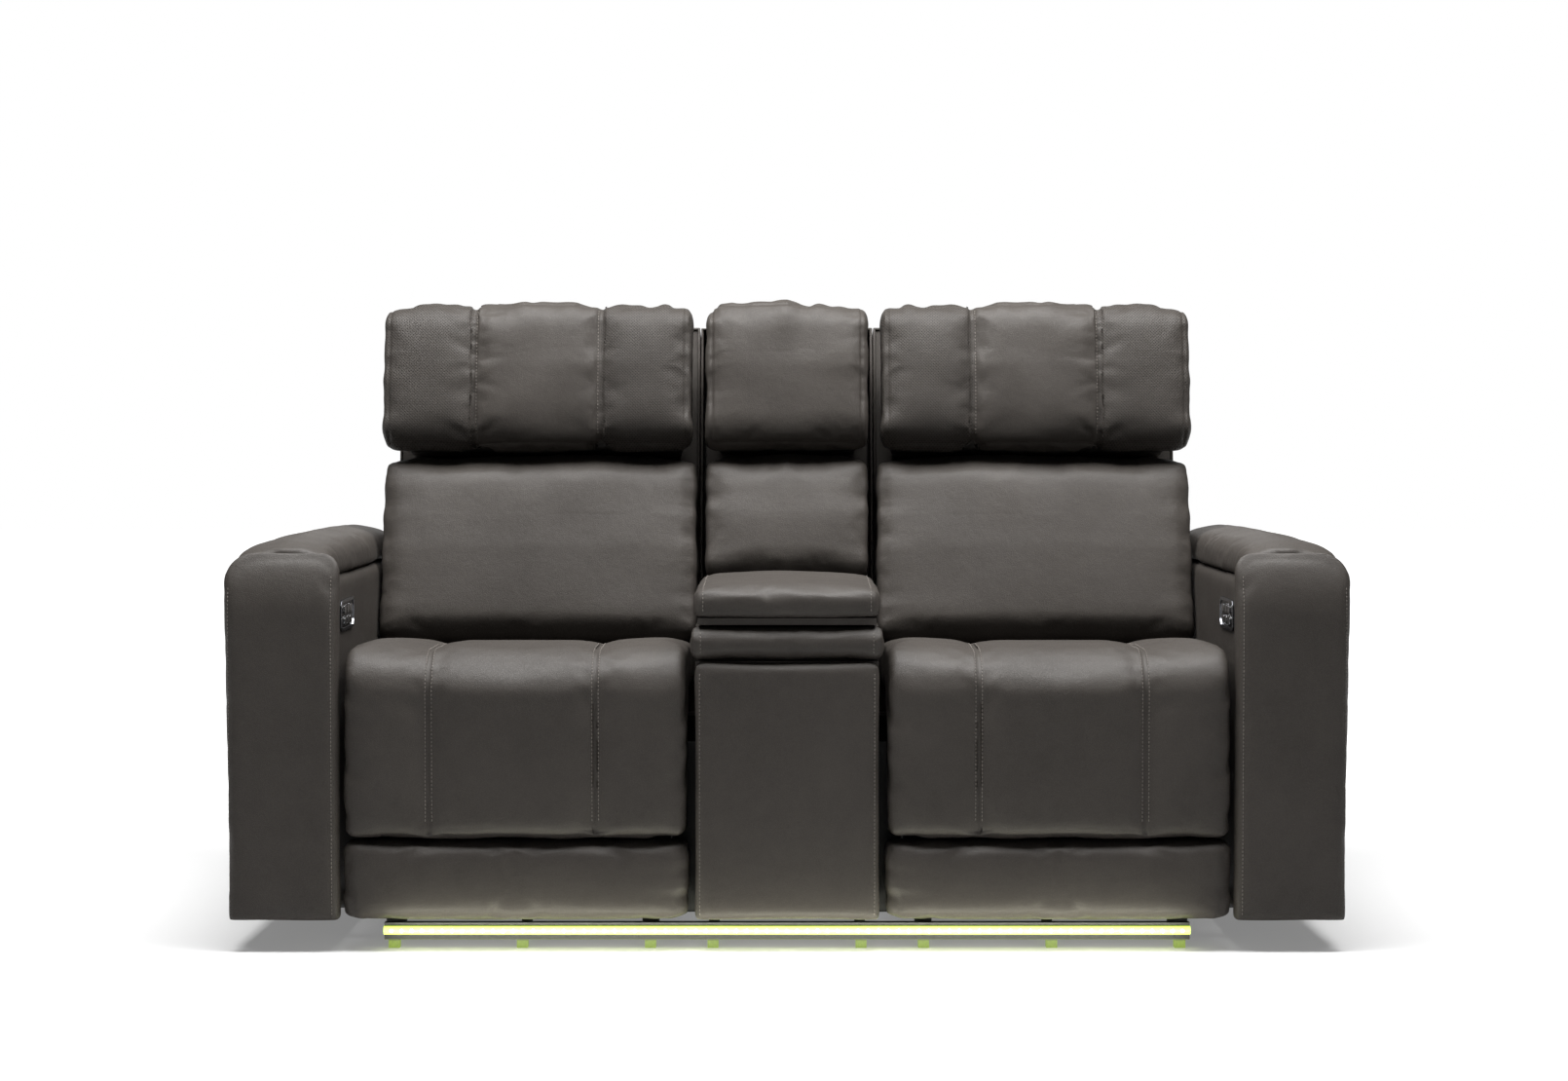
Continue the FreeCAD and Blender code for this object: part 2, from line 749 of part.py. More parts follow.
def motor(length, bore):
    """Linear motor along +Z from 0: gear block and round motor below, guide with its bore above."""
    block = box(-gear_half_width, gear_half_width, -guide_half_height, guide_half_height, 0, gear_length)
    guide = box(-guide_half_width, guide_half_width, -guide_half_height, guide_half_height,
                gear_length, length)
    can = pin_x(-gear_half_width - can_length, -gear_half_width, 0, gear_length / 2, can_radius, 14)
    hole = rod_half + rod_gap
    return join([block, guide, can]).cut(box(-hole, hole, -hole, hole, length - bore, length))


def rod(length, pin_reach):
    """Push rod along +Z with a cross pin at its tip."""
    shaft = box(-rod_half, rod_half, -rod_half, rod_half, -length, rod_half)
    return shaft.fuse(pin_x(-pin_reach, pin_reach, 0, 0, eye_pin_radius))


def placed(shape, axis, angle, x, y, z):
    turned = shape.copy()
    turned.rotate(V(0, 0, 0), axis, angle)
    turned.translate(V(x, y, z))
    return turned


pin_reach = rod_half + crank_gap + plate + 2.0
pin_play = 0.8
line_trim = 0.993
swing_play = 2.5
half_swing = math.radians(legrest_range / 2)

# Leg-rest motor and rod: the rod runs level under the roll, forward to raise the leg-rest
legrest_travel = 2 * crank_height * math.tan(half_swing) * 0.97
print("leg-rest rod travel", round(legrest_travel, 3))
legrest_pin_y = roll_y + legrest_travel / 2
motor_mouth_y = 230.0
motor_length = 290.0
rod_inside = 90.0
legrest_motor = placed(motor(motor_length, rod_inside + 20.0), V(1, 0, 0), 90, seat_mid_x,
                       motor_mouth_y + motor_length, legrest_rod_z)
save_pair("legrest_motor", legrest_motor)
legrest_rod = placed(rod(motor_mouth_y + rod_inside - legrest_pin_y, pin_reach), V(1, 0, 0), 90,
                     seat_mid_x, legrest_pin_y, legrest_rod_z)
save_pair("legrest_rod", legrest_rod)

# Leg-rest frame: torque tube, two swing arms, slotted crank and the sheet that carries the pads
carrier_y = pad_back_y + rest_gap
crank_tip = 64.0
swing_low_z = 140.0
swing_back_y = 114.0
sheet_low_z = 62.0
sheet_high_z = 344.0
legrest_parts = []
for side in (-1, 1):
    swing_x = seat_mid_x + side * swing_offset
    points = bend(roll_y, roll_z, hub_radius, 0, 180, 6)
    points += [
        (roll_y - hub_radius, roll_z - 20.0),
        (carrier_y + carrier_thickness - 1.0, sheet_high_z + 6.0),
        (carrier_y + carrier_thickness - 1.0, swing_low_z),
        (swing_back_y, swing_low_z),
        (swing_back_y, roll_z - 60.0),
    ]
    legrest_parts.append(plate_x(points, swing_x - plate / 2, swing_x + plate / 2))
legrest_parts.append(pin_x(seat_mid_x - swing_offset, seat_mid_x + swing_offset, roll_y, roll_z,
                           tube_radius, 14))
pin_end = track_offset + plate
legrest_parts.append(rod_x(seat_mid_x - pin_end, seat_mid_x + pin_end, roll_y, roll_z, pin_radius))
legrest_parts += crank_pair(seat_mid_x, roll_y, roll_z, -90 + legrest_range / 2,
                            crank_height - eye_pin_radius - 2.0,
                            crank_height / math.cos(half_swing) + eye_pin_radius + 2.0,
                            2 * (eye_pin_radius + swing_play), crank_tip)
legrest_parts.append(box(seat_inner_x + 30.0, seat_outer_x - 30.0, carrier_y,
                         carrier_y + carrier_thickness, sheet_low_z, sheet_high_z))
save_pair("legrest_frame", join(legrest_parts))


# Leg-rest pads: the chaise pad follows the roll, the toe pad hangs below it
def chaise_outline(inset):
    reach = roll_radius + pad_gap
    tip_y = pad_front_y + 3.0 + inset
    tip_angle = 180 + math.degrees(math.acos((roll_y - tip_y) / reach))
    back_angle = 270 + math.degrees(math.asin((pad_back_y - roll_y) / reach))
    low = upper_pad_bottom_z + inset / 2
    front = pad_front_y + 5.0 + inset
    return (bend(roll_y, roll_z, reach, back_angle, tip_angle, 6)
            + [(pad_front_y + inset, (roll_z + low) / 2 + 10.0)]
            + bend(front + pad_low_round, low + pad_low_round, pad_low_round, 180, 270, 4)
            + [(pad_back_y, low)])


def toe_outline(inset):
    front = pad_front_y + 2.0 + inset
    top = lower_pad_top_z - inset / 2
    low = skirt_z + inset / 2
    return (bend(front + pad_low_round, top - pad_low_round, pad_low_round, 90, 180, 3)
            + [(front - 1.0, (top + low) / 2)]
            + bend(front + pad_low_round, low + pad_low_round, pad_low_round, 180, 270, 3)
            + [(pad_back_y, low), (pad_back_y, top)])


chaise_pad = soft_form(pillow_stations(seat_inner_x, seat_outer_x, 2.0, 0.0), chaise_outline, across_x)
toe_pad = soft_form(pillow_stations(seat_inner_x, seat_outer_x, 2.0, 1.0), toe_outline, across_x)
save_pair("legrest_pads", Part.makeCompound([chaise_pad, toe_pad]))

# Back motor and rod: the rod pulls the crank of the back forward to recline
half_recline = math.radians(back_range / 2)
back_travel = 2 * (back_hinge_z - back_rod_z) * math.tan(half_recline) * line_trim
print("back rod travel", round(back_travel, 3))
back_pin_y = back_hinge_y + back_travel / 2
back_motor_x = seat_mid_x + back_motor_offset
back_mouth_y = 540.0
back_motor_length = 320.0
back_rod_inside = 100.0
save_pair("back_motor", placed(motor(back_motor_length, back_rod_inside + back_travel + 20.0),
                               V(1, 0, 0), -90, back_motor_x, back_mouth_y - back_motor_length,
                               back_rod_z))
save_pair("back_rod", placed(rod(back_pin_y - back_mouth_y + back_rod_inside, pin_reach), V(1, 0, 0),
                             -90, back_motor_x, back_pin_y, back_rod_z))

# Back frame: hinge tube, crank, brackets and a timber tray with two posts
bracket_offset = 192.0
tray = box(back_inner_x + 4.0, back_outer_x - 17.0, back_front_u, back_rear_u, back_low_w, back_high_w)
for x0, x1 in (
    (back_inner_x + 4.0 + back_rim, seat_mid_x - back_post_offset - back_rim / 2),
    (seat_mid_x - back_post_offset + back_rim / 2, seat_mid_x + back_post_offset - back_rim / 2),
    (seat_mid_x + back_post_offset + back_rim / 2, back_outer_x - 17.0 - back_rim),
):
    tray = tray.cut(box(x0, x1, back_front_u, back_rear_u - back_panel, back_low_w + back_rim,
                        back_high_w - back_rim))
outer_panel = box(back_inner_x + 4.0, back_outer_x - 17.0, back_rear_u - back_panel, back_rear_u,
                  back_panel_low_w, back_low_w)
back_parts = [leaned(tray), leaned(outer_panel)]
for side in (-1, 1):
    bracket_x = seat_mid_x + side * bracket_offset
    points = bend(0, 0, nose_radius, 180, 360, 6)
    points += [
        (back_front_u + 2.0, back_low_w + 2.0),
        (back_front_u + 2.0, cushion_low_w - 4.0),
        (back_front_u - 22.0, cushion_low_w - 4.0),
    ]
    back_parts.append(leaned(plate_x(points, bracket_x - plate / 2, bracket_x + plate / 2)))
back_parts.append(pin_x(seat_mid_x - bracket_offset, seat_mid_x + bracket_offset, back_hinge_y,
                        back_hinge_z, tube_radius, 14))
back_parts.append(rod_x(seat_mid_x - pin_end, seat_mid_x + pin_end, back_hinge_y, back_hinge_z,
                        pin_radius))
crank_slip = back_crank * (1 - math.cos(half_recline))
back_parts += crank_pair(back_motor_x, back_hinge_y, back_hinge_z, -90 + back_range / 2,
                         back_crank - crank_slip - eye_pin_radius - 2.0,
                         back_crank + crank_slip + eye_pin_radius + 2.0,
                         2 * (eye_pin_radius + pin_play), back_crank + 18.0)

# Headrest brackets on the two posts
ear_offset = 108.0
ear_radius = 11.0
for side in (-1, 1):
    ear_x = seat_mid_x + side * ear_offset
    points = bend(headrest_u, headrest_w, ear_radius, 270, 90, 5)
    points += [
        (back_front_u + 1.0, headrest_w + 3 * ear_radius),
        (back_front_u + 1.0, headrest_w - 2 * ear_radius),
    ]
    ear = plate_x(points, ear_x - plate / 2, ear_x + plate / 2)
    ear = ear.cut(rod_x(ear_x - plate, ear_x + plate, headrest_u, headrest_w, eye_pin_radius + run_gap))
    back_parts.append(leaned(ear))
save_pair("back_frame", join(back_parts))

save_pair("back_cushion", leaned(soft_form(pillow_stations(back_inner_x, back_outer_x, crown, 0.0),
                                           back_cushion_outline, across_x)))

# Headrest motor and rod, inside the middle bay of the back
half_nod = math.radians(headrest_range / 2)
nod_slip = headrest_crank * (1 - math.cos(half_nod))
headrest_line = headrest_crank - nod_slip / 2
headrest_travel = 2 * headrest_line * math.tan(half_nod) * line_trim
print("headrest rod travel", round(headrest_travel, 3))
headrest_rod_u = headrest_u + headrest_line
headrest_pin_w = headrest_w - headrest_travel / 2
headrest_mouth_drop = 141.0
headrest_mouth_w = headrest_w - headrest_mouth_drop
headrest_motor_length = 250.0
headrest_motor_low_w = headrest_mouth_w - headrest_motor_length
headrest_rod_inside = 100.0
headrest_motor = placed(motor(headrest_mouth_w - headrest_motor_low_w, headrest_rod_inside + 20.0),
                        V(0, 0, 1), 0, seat_mid_x, headrest_rod_u, headrest_motor_low_w)
saddle = box(seat_mid_x - guide_half_width, seat_mid_x + guide_half_width, headrest_rod_u,
             back_rear_u - back_panel - rest_gap, headrest_motor_low_w, headrest_motor_low_w + gear_length)
save_pair("headrest_motor", leaned(headrest_motor.fuse(saddle).removeSplitter()))
save_pair("headrest_rod", leaned(placed(rod(headrest_pin_w - headrest_mouth_w + headrest_rod_inside,
                                            pin_reach), V(0, 0, 1), 0, seat_mid_x, headrest_rod_u,
                                        headrest_pin_w)))

# Headrest frame: back plate, two knuckles with pins and the slotted crank
headrest_plate_u = headrest_u + headrest_back + rest_gap
knuckle_offset = ear_offset - plate - 1.0
headrest_plate_half = 200.0
headrest_plate_low = 4.0
headrest_plate_high = 165.0
headrest_parts = [box(seat_mid_x - headrest_plate_half, seat_mid_x + headrest_plate_half, headrest_plate_u,
                      headrest_plate_u + carrier_thickness, headrest_w - headrest_plate_low,
                      headrest_w + headrest_plate_high)]
for side in (-1, 1):
    knuckle_x = seat_mid_x + side * knuckle_offset
    points = bend(headrest_u, headrest_w, ear_radius, 270, 90, 5)
    points += [
        (headrest_plate_u + 1.0, headrest_w + 2 * ear_radius),
        (headrest_plate_u + 1.0, headrest_w - headrest_plate_low),
    ]
    headrest_parts.append(plate_x(points, knuckle_x - plate / 2, knuckle_x + plate / 2))
    pin_x0 = seat_mid_x + side * (knuckle_offset - plate / 2)
    pin_x1 = seat_mid_x + side * (ear_offset + plate)
    headrest_parts.append(rod_x(min(pin_x0, pin_x1), max(pin_x0, pin_x1), headrest_u, headrest_w,
                                eye_pin_radius))
nod_cheeks = crank_pair(seat_mid_x, headrest_u, headrest_w, -headrest_range / 2,
                        headrest_crank - nod_slip - eye_pin_radius - 2.0,
                        headrest_crank + nod_slip + eye_pin_radius + 2.0,
                        2 * (eye_pin_radius + pin_play), headrest_crank + 18.0)
behind_plate = box(seat_mid_x - 40.0, seat_mid_x + 40.0, headrest_plate_u, back_rear_u, 0, back_high_w)
for cheek in nod_cheeks:
    headrest_parts.append(cheek.common(behind_plate))
web = box(seat_mid_x - pin_reach + 2.0, seat_mid_x + pin_reach - 2.0, headrest_plate_u,
          headrest_plate_u + 22.0, headrest_w - 28.0, headrest_w + 10.0)
headrest_parts.append(web)
headrest_frame = join(headrest_parts)
for side in (-1, 1):
    ear_x = seat_mid_x + side * ear_offset
    low = ear_x - plate / 2 - 0.9
    high = ear_x + plate / 2 + 0.9
    headrest_frame = headrest_frame.cut(box(low, high, headrest_plate_u - 2.0,
                                            headrest_plate_u + carrier_thickness + 2.0,
                                            headrest_w - 5.0, headrest_w + 66.0))
save_pair("headrest_frame", leaned(headrest_frame))

# Headrest pillow: two seams, and room for the knuckles at its lower rear
pillow_mid_x = (headrest_inner_x + back_outer_x) / 2
pillow_seam_offset = 116.0
pillow_channels = [pillow_mid_x - pillow_seam_offset, pillow_mid_x + pillow_seam_offset]
pillow = soft_form(pillow_stations(headrest_inner_x, back_outer_x, crown, 0.0, pillow_channels),
                   headrest_outline, across_x)
for side in (-1, 1):
    outer_edge = seat_mid_x + side * (ear_offset + plate + 3.0)
    inner_edge = seat_mid_x + side * (knuckle_offset - plate / 2 - 2.0)
    low, high = min(outer_edge, inner_edge), max(outer_edge, inner_edge)
    pillow = pillow.cut(box(low, high, headrest_u - 15.0, headrest_u + headrest_back + 2.0,
                            headrest_w - headrest_round - 2.0, headrest_w + 3 * ear_radius))
save_pair("headrest_pillow", leaned(pillow))
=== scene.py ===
# %% [markdown]
# # A two-seat home-theatre recliner in dark leather
#
# This notebook dresses the mechanical model of a reclining loveseat. The rigid frame, the hinges and the
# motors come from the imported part. Here the upholstery gets its filling, seams, stitches and grain, and the
# whole is set in a plain studio.

# %% Load the frame
import math
import bpy
import numpy as np
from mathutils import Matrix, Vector, noise
from mathutils.bvhtree import BVHTree


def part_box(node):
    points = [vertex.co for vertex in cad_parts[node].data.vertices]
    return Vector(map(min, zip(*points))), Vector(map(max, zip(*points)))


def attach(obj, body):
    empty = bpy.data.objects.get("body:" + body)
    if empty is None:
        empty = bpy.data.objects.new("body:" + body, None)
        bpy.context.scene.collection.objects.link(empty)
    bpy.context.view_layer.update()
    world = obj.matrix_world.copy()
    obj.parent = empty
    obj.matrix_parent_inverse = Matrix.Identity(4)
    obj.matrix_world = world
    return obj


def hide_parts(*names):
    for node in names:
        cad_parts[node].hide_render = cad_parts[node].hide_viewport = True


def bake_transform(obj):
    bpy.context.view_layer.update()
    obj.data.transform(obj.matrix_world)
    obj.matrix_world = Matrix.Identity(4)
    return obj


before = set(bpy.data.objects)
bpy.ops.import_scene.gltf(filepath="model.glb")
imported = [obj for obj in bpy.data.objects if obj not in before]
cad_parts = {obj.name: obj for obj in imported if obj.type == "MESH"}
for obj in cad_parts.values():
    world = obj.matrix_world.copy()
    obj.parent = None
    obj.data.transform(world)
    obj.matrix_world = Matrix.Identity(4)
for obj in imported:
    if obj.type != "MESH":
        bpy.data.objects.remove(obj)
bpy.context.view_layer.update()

# %% [markdown]
# ## Measures shared with the frame
#
# The frame's own boxes tell where each cushion belongs, so most places are read from it. A few measures say
# how the back leans and where the hinges are, because the covers bend about them.

# %% Shared measures
SIDES = (("left", -1), ("right", 1))
LEAN = math.radians(10)
ARM_FRONT_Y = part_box("right_arm_front_band")[0].y
ROLL = Vector((0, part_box("right_seat_cushion")[0].y + 0.075, 0.425))
BACK_HINGE = Vector((0, 0.198379, 0.300))
UP_BACK = Vector((0, math.sin(LEAN), math.cos(LEAN)))
OUT_BACK = Vector((0, math.cos(LEAN), -math.sin(LEAN)))
print("arm fronts at y", round(ARM_FRONT_Y, 4), "roll centre", tuple(round(v, 3) for v in ROLL))


# %% [markdown]
# ## Small tools
#
# Everything in edit mode acts on what is selected, so each tool first clears the selection. A new piece is a
# copy of the plain solid of its cushion: the copy is merged into one skin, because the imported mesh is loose
# triangles, and it is then stuffed, sewn and grained like the real one.

# %% Selection and copying tools
MERGE_DISTANCE = 0.00002


def only(obj):
    """Leaves edit mode, selects one object and makes it active."""
    if bpy.context.mode != "OBJECT":
        edited()
    bpy.ops.object.select_all(action="DESELECT")
    obj.select_set(True)
    bpy.context.view_layer.objects.active = obj
    return obj


def edit(obj, action="SELECT"):
    """Opens one object in edit mode, with all or nothing of it selected."""
    only(obj)
    bpy.ops.object.mode_set(mode="EDIT")
    bpy.ops.mesh.select_all(action=action)


def edited():
    bpy.ops.object.mode_set(mode="OBJECT")


def assign(thing, **settings):
    for key, value in settings.items():
        setattr(thing, key, value)
    return thing


def named(obj, name):
    obj.data.name = name
    return assign(obj, name=name)


def in_scene(obj):
    bpy.context.scene.collection.objects.link(obj)
    return obj


def copy_of(solid, name):
    """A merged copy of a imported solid, free of its body."""
    obj = in_scene(bpy.data.objects.new(name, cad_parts[solid].data.copy()))
    obj.data.materials.clear()
    edit(obj)
    bpy.ops.mesh.remove_doubles(threshold=MERGE_DISTANCE)
    bpy.ops.mesh.normals_make_consistent(inside=False)
    edited()
    return named(obj, name)


def apply_all(obj):
    only(obj)
    for modifier in list(obj.modifiers):
        bpy.ops.object.modifier_apply(modifier=modifier.name)


def rows_of(obj, what="co"):
    """The places of a mesh's points, or their normals, as rows."""
    rows = np.empty(len(obj.data.vertices) * 3)
    obj.data.vertices.foreach_get(what, rows)
    return rows.reshape(-1, 3)


def set_points(obj, co):
    obj.data.vertices.foreach_set("co", np.ascontiguousarray(co, dtype=np.float64).ravel())
    obj.data.update()


def remesh(obj, size):
    assign(obj.modifiers.new("skin", "REMESH"), mode="VOXEL", voxel_size=size)
    apply_all(obj)
    return obj


def smooth_shade(obj, angle=None):
    only(obj)
    if angle is None:
        bpy.ops.object.shade_smooth()
    else:
        bpy.ops.object.shade_smooth_by_angle(angle=math.radians(angle))
    return obj

# %% [markdown]
# ## Stuffing
#
# A cushion is a leather bag that its foam presses outwards. Cloth physics gives that shape best: the skin is
# pinned where it is sewn or stapled down, pressure blows up the rest, and a skin cut slightly too large
# makes the small folds that real leather has. How far a point may move is capped, so the cushion keeps to its
# place.

# %% The stuffing tool
CLOTH_RULES = dict(quality=3, mass=0.3, tension_stiffness=18, compression_stiffness=18, shear_stiffness=8,
                   bending_stiffness=1.2, air_damping=2.0, vertex_group_mass="pinned", use_pressure=True)
CLOTH_FRAMES = 12


def inflate(obj, pinned, pressure, ease, cap):
    """Lets cloth physics blow up a skin that is pinned where pinned(co, no) says so."""
    start = rows_of(obj)
    group = obj.vertex_groups.new(name="pinned")
    held = np.nonzero(pinned(start, rows_of(obj, "normal")))[0]
    group.add([int(i) for i in held], 1.0, "REPLACE")
    cloth = obj.modifiers.new("stuffing", "CLOTH")
    assign(cloth.settings, **CLOTH_RULES, shrink_min=-ease, uniform_pressure_force=pressure)
    cloth.settings.effector_weights.gravity = 0
    assign(cloth.point_cache, frame_start=1, frame_end=CLOTH_FRAMES)
    scene = bpy.context.scene
    for step in range(1, CLOTH_FRAMES + 1):
        scene.frame_set(step)
    apply_all(obj)
    moved = rows_of(obj) - start
    length = np.linalg.norm(moved, axis=1, keepdims=True)
    moved *= np.tanh(length / cap) * cap / np.maximum(length, 1e-9)
    set_points(obj, start + moved)
    scene.frame_set(1)
    obj.vertex_groups.clear()
    print(obj.name, "stuffed, points", len(start), "held", len(held),
          "most moved mm", round(float(length.max()) * 1000, 1))


def stuff(obj, voxel, pinned, pressure, ease, cap, smooth=4):
    """Remeshes obj, inflates it and gives it one subdivision."""
    remesh(obj, voxel)
    inflate(obj, pinned, pressure, ease, cap)
    assign(obj.modifiers.new("soften", "SMOOTH"), factor=0.5, iterations=smooth)
    assign(obj.modifiers.new("fine", "SUBSURF"), levels=1, render_levels=1)
    apply_all(obj)
    return smooth_shade(obj)

# %% [markdown]
# ## Seams and puckers
#
# Where two panels of leather meet, the seam is pulled into the foam and the leather beside it gathers in short
# folds at right angles to the seam. Both are made by moving points of the stuffed skin: a narrow valley
# along the seam, and folds whose depth fades away from it.

# %% Seam and pucker tools
SEAM_HALF = 0.0035
SEAM_CORE = 0.004


def wave(places, pitch, seed):
    """Smooth uneven ripples along a line, from -1 to 1, the same at each run."""
    out = np.array([noise.noise(Vector((place / pitch, seed * 7.31, 0.5))) for place in places])
    return np.clip(out * 2.0, -1, 1)


def sink(obj, distance, width, depth, along=None, pitch=0.03, ripple=0.0, reach=0.04, seed=1, where=None):
    """Moves points inwards near a line: distance(co) says how far each point is from it."""
    co = rows_of(obj)
    no = rows_of(obj, "normal")
    far = np.abs(distance(co))
    amount = depth * np.exp(-(far / width) ** 2)
    if along is not None:
        near = np.nonzero(far < 3 * reach)[0]
        folds = np.zeros(len(co))
        folds[near] = wave(along(co[near]), pitch, seed)
        amount = amount + ripple * folds * np.exp(-far / reach) * (1 - np.exp(-(far / SEAM_CORE) ** 2) * 0.5)
    if where is not None:
        amount = amount * where(co, no)
    set_points(obj, co - no * amount[:, None])
    return obj


def gather(obj, distance, along, pitch, ripple, reach, seed, where=None):
    """Short folds at right angles to a line, without a valley."""
    return sink(obj, distance, 1.0, 0.0, along, pitch, ripple, reach, seed, where)


def across(axis, edge=0.0):
    """How far points are beyond a plane across an axis."""
    return lambda co: co[:, axis] - edge


def over_roll(co):
    """Grows along the seat, over its front roll and down."""
    return co[:, 2] - co[:, 1]


def leaned(co):
    """Places in the frame of the back: x, u to the rear and w upwards from the back hinge."""
    rel = co - np.array(BACK_HINGE)
    return np.stack([co[:, 0], rel @ np.array(OUT_BACK), rel @ np.array(UP_BACK)], axis=1)


def up_back(co):
    """How far up the leaning back each point lies."""
    return leaned(co)[:, 2]


def side_folds(obj, edges, along, pitch, ripple, reach, seeds, where=None):
    """Folds that run in from the side seams of a cushion."""
    for edge, seed in zip(edges, seeds):
        gather(obj, across(0, edge), along, pitch, ripple, reach, seed, where)


def cut(obj, places, normal):
    """Gives the mesh edges along parallel planes."""
    only(obj)
    bpy.ops.object.mode_set(mode="EDIT")
    for place in places:
        bpy.ops.mesh.select_all(action="SELECT")
        bpy.ops.mesh.bisect(plane_co=place, plane_no=normal)
    edited()


def fine_band(obj, seam):
    """Cuts the skin at a seam across x, so that the seam has edges of its own."""
    cut(obj, [(seam + step, 0, 0) for step in (-SEAM_HALF, 0, SEAM_HALF)], (1, 0, 0))


def creases(obj, size, depth, seed, where=None):
    """Broad shallow unevenness of a filled leather skin."""
    co = rows_of(obj)
    no = rows_of(obj, "normal")
    shift = Vector((seed * 3.7, seed * 1.3, seed * 2.1))
    lift = depth * np.array([noise.noise(Vector(point) / size + shift) for point in co])
    if where is not None:
        lift *= where(co, no)
    set_points(obj, co + no * lift[:, None])
    return obj

# %% [markdown]
# ## Stitches
#
# Topstitching is a row of short threads lying in small dents. One thread is modelled once, as a stretched
# ball of a few faces, and copied along a line that is dropped onto the leather.

# %% The stitching tool
STITCH_LENGTH = 0.0046
STITCH_PITCH = 0.0064
STITCH_THICK = 0.00075
STITCH_LIFT = 0.0003
GUIDE_STEP = 0.004
GUIDE_LEAP = 0.02
DROP_FROM = 0.06
DROP_REACH = 0.16


def thread_pattern():
    bpy.ops.mesh.primitive_uv_sphere_add(segments=6, ring_count=4, radius=1.0)
    ball = only(bpy.context.object)
    co = rows_of(ball)
    faces = [tuple(p.vertices) for p in ball.data.polygons]
    bpy.data.objects.remove(ball)
    return co, faces


THREAD_POINTS, THREAD_FACES = thread_pattern()


def skin_of(obj):
    """A search tree over the surface of a piece."""
    return BVHTree.FromPolygons([v.co.copy() for v in obj.data.vertices],
                                [tuple(p.vertices) for p in obj.data.polygons])


def stitch_row(name, skin, guides, aim):
    """Stitches along guide points, each dropped onto the skin in the direction aim(point)."""
    path = []
    for a, b in zip(guides[:-1], guides[1:]):
        steps = max(1, int((b - a).length / GUIDE_STEP))
        path += [a.lerp(b, k / steps) for k in range(steps)]
    points, normals = [], []
    for point in path + [guides[-1]]:
        toward = aim(point)
        hit, normal, _, _ = skin.ray_cast(point - toward * DROP_FROM, toward, DROP_REACH)
        if hit is not None:
            points.append(hit)
            normals.append(normal)
    travelled = [0.0]
    for a, b in zip(points[:-1], points[1:]):
        travelled.append(travelled[-1] + (b - a).length)
    verts, faces = [], []
    j = 0
    for k in range(int(travelled[-1] / STITCH_PITCH)):
        goal = (k + 0.5) * STITCH_PITCH
        while j < len(travelled) - 2 and travelled[j + 1] < goal:
            j += 1
        share = (goal - travelled[j]) / max(travelled[j + 1] - travelled[j], 1e-9)
        centre = points[j].lerp(points[j + 1], share)
        normal = normals[j].lerp(normals[j + 1], share).normalized()
        tangent = points[j + 1] - points[j]
        if tangent.length < 1e-7 or tangent.length > GUIDE_LEAP:
            continue
        tangent.normalize()
        side = normal.cross(tangent).normalized()
        offset = len(verts)
        for p in THREAD_POINTS:
            verts.append(centre + tangent * (p[2] * STITCH_LENGTH / 2) + side * (p[0] * STITCH_THICK)
                         + normal * (p[1] * STITCH_THICK + STITCH_LIFT))
        faces += [tuple(offset + i for i in f) for f in THREAD_FACES]
    mesh = bpy.data.meshes.new(name)
    mesh.from_pydata(verts, [], faces)
    print(name, "stitches", len(faces) // len(THREAD_FACES))
    return smooth_shade(in_scene(bpy.data.objects.new(name, mesh)))


def joined(name, objs):
    only(objs[0])
    for obj in objs:
        obj.select_set(True)
    bpy.ops.object.join()
    return named(objs[0], name)


def mirrored(obj, name):
    """The left-hand twin of a right-hand piece, with its own mesh and faces pointing outwards."""
    twin = obj.copy()
    twin.data = obj.data.copy()
    in_scene(twin)
    set_points(twin, rows_of(twin) * (-1, 1, 1))
    twin.data.flip_normals()
    return named(twin, name)

# %% [markdown]
# ## Leather
#
# The hide is a warm, very dark grey. Up close it has a fine pebbled grain, between the pebbles run darker
# lines, and broad clouds of tone and gloss show where it was rolled and stretched. The same recipe serves the
# plain and the perforated leather, so it is a node group that puts out colour, roughness and height.

# %% Node tools
def feed(tree, target, inputs):
    """Gives each named input of a node its value, or a link where a socket is given."""
    for key, value in inputs.items():
        if isinstance(value, bpy.types.NodeSocket):
            tree.links.new(value, target.inputs[key])
        else:
            target.inputs[key].default_value = value
    return target


def node(tree, kind, inputs, **settings):
    return feed(tree, assign(tree.nodes.new("ShaderNode" + kind), **settings), inputs).outputs


def maths(tree, operation, a, b=None, clamp=False):
    values = {0: a} if b is None else {0: a, 1: b}
    return node(tree, "Math", values, operation=operation, use_clamp=clamp)[0]


def times(tree, a, b, clamp=False):
    return maths(tree, "MULTIPLY", a, b, clamp)


def plus(tree, a, b, clamp=False):
    return maths(tree, "ADD", a, b, clamp)


def less(tree, a, b, clamp=False):
    return maths(tree, "SUBTRACT", a, b, clamp)


def speckle(tree, place, scale, detail=2.0, rough=0.5):
    values = {"Vector": place, "Scale": scale, "Detail": detail, "Roughness": rough}
    return node(tree, "TexNoise", values)["Fac"]


def axis_of(tree, place, axis):
    return node(tree, "SeparateXYZ", {0: place})[axis]


def mixed(tree, share, first, second):
    return node(tree, "Mix", {0: share, 6: first, 7: second}, data_type="RGBA")[2]


def ramp(tree, factor, *stops):
    """Goes from one colour to another between two places."""
    made = tree.nodes.new("ShaderNodeValToRGB")
    for element, (place, colour) in zip(made.color_ramp.elements, stops):
        assign(element, position=place, color=(*colour, 1))
    return feed(tree, made, {0: factor}).outputs[0]


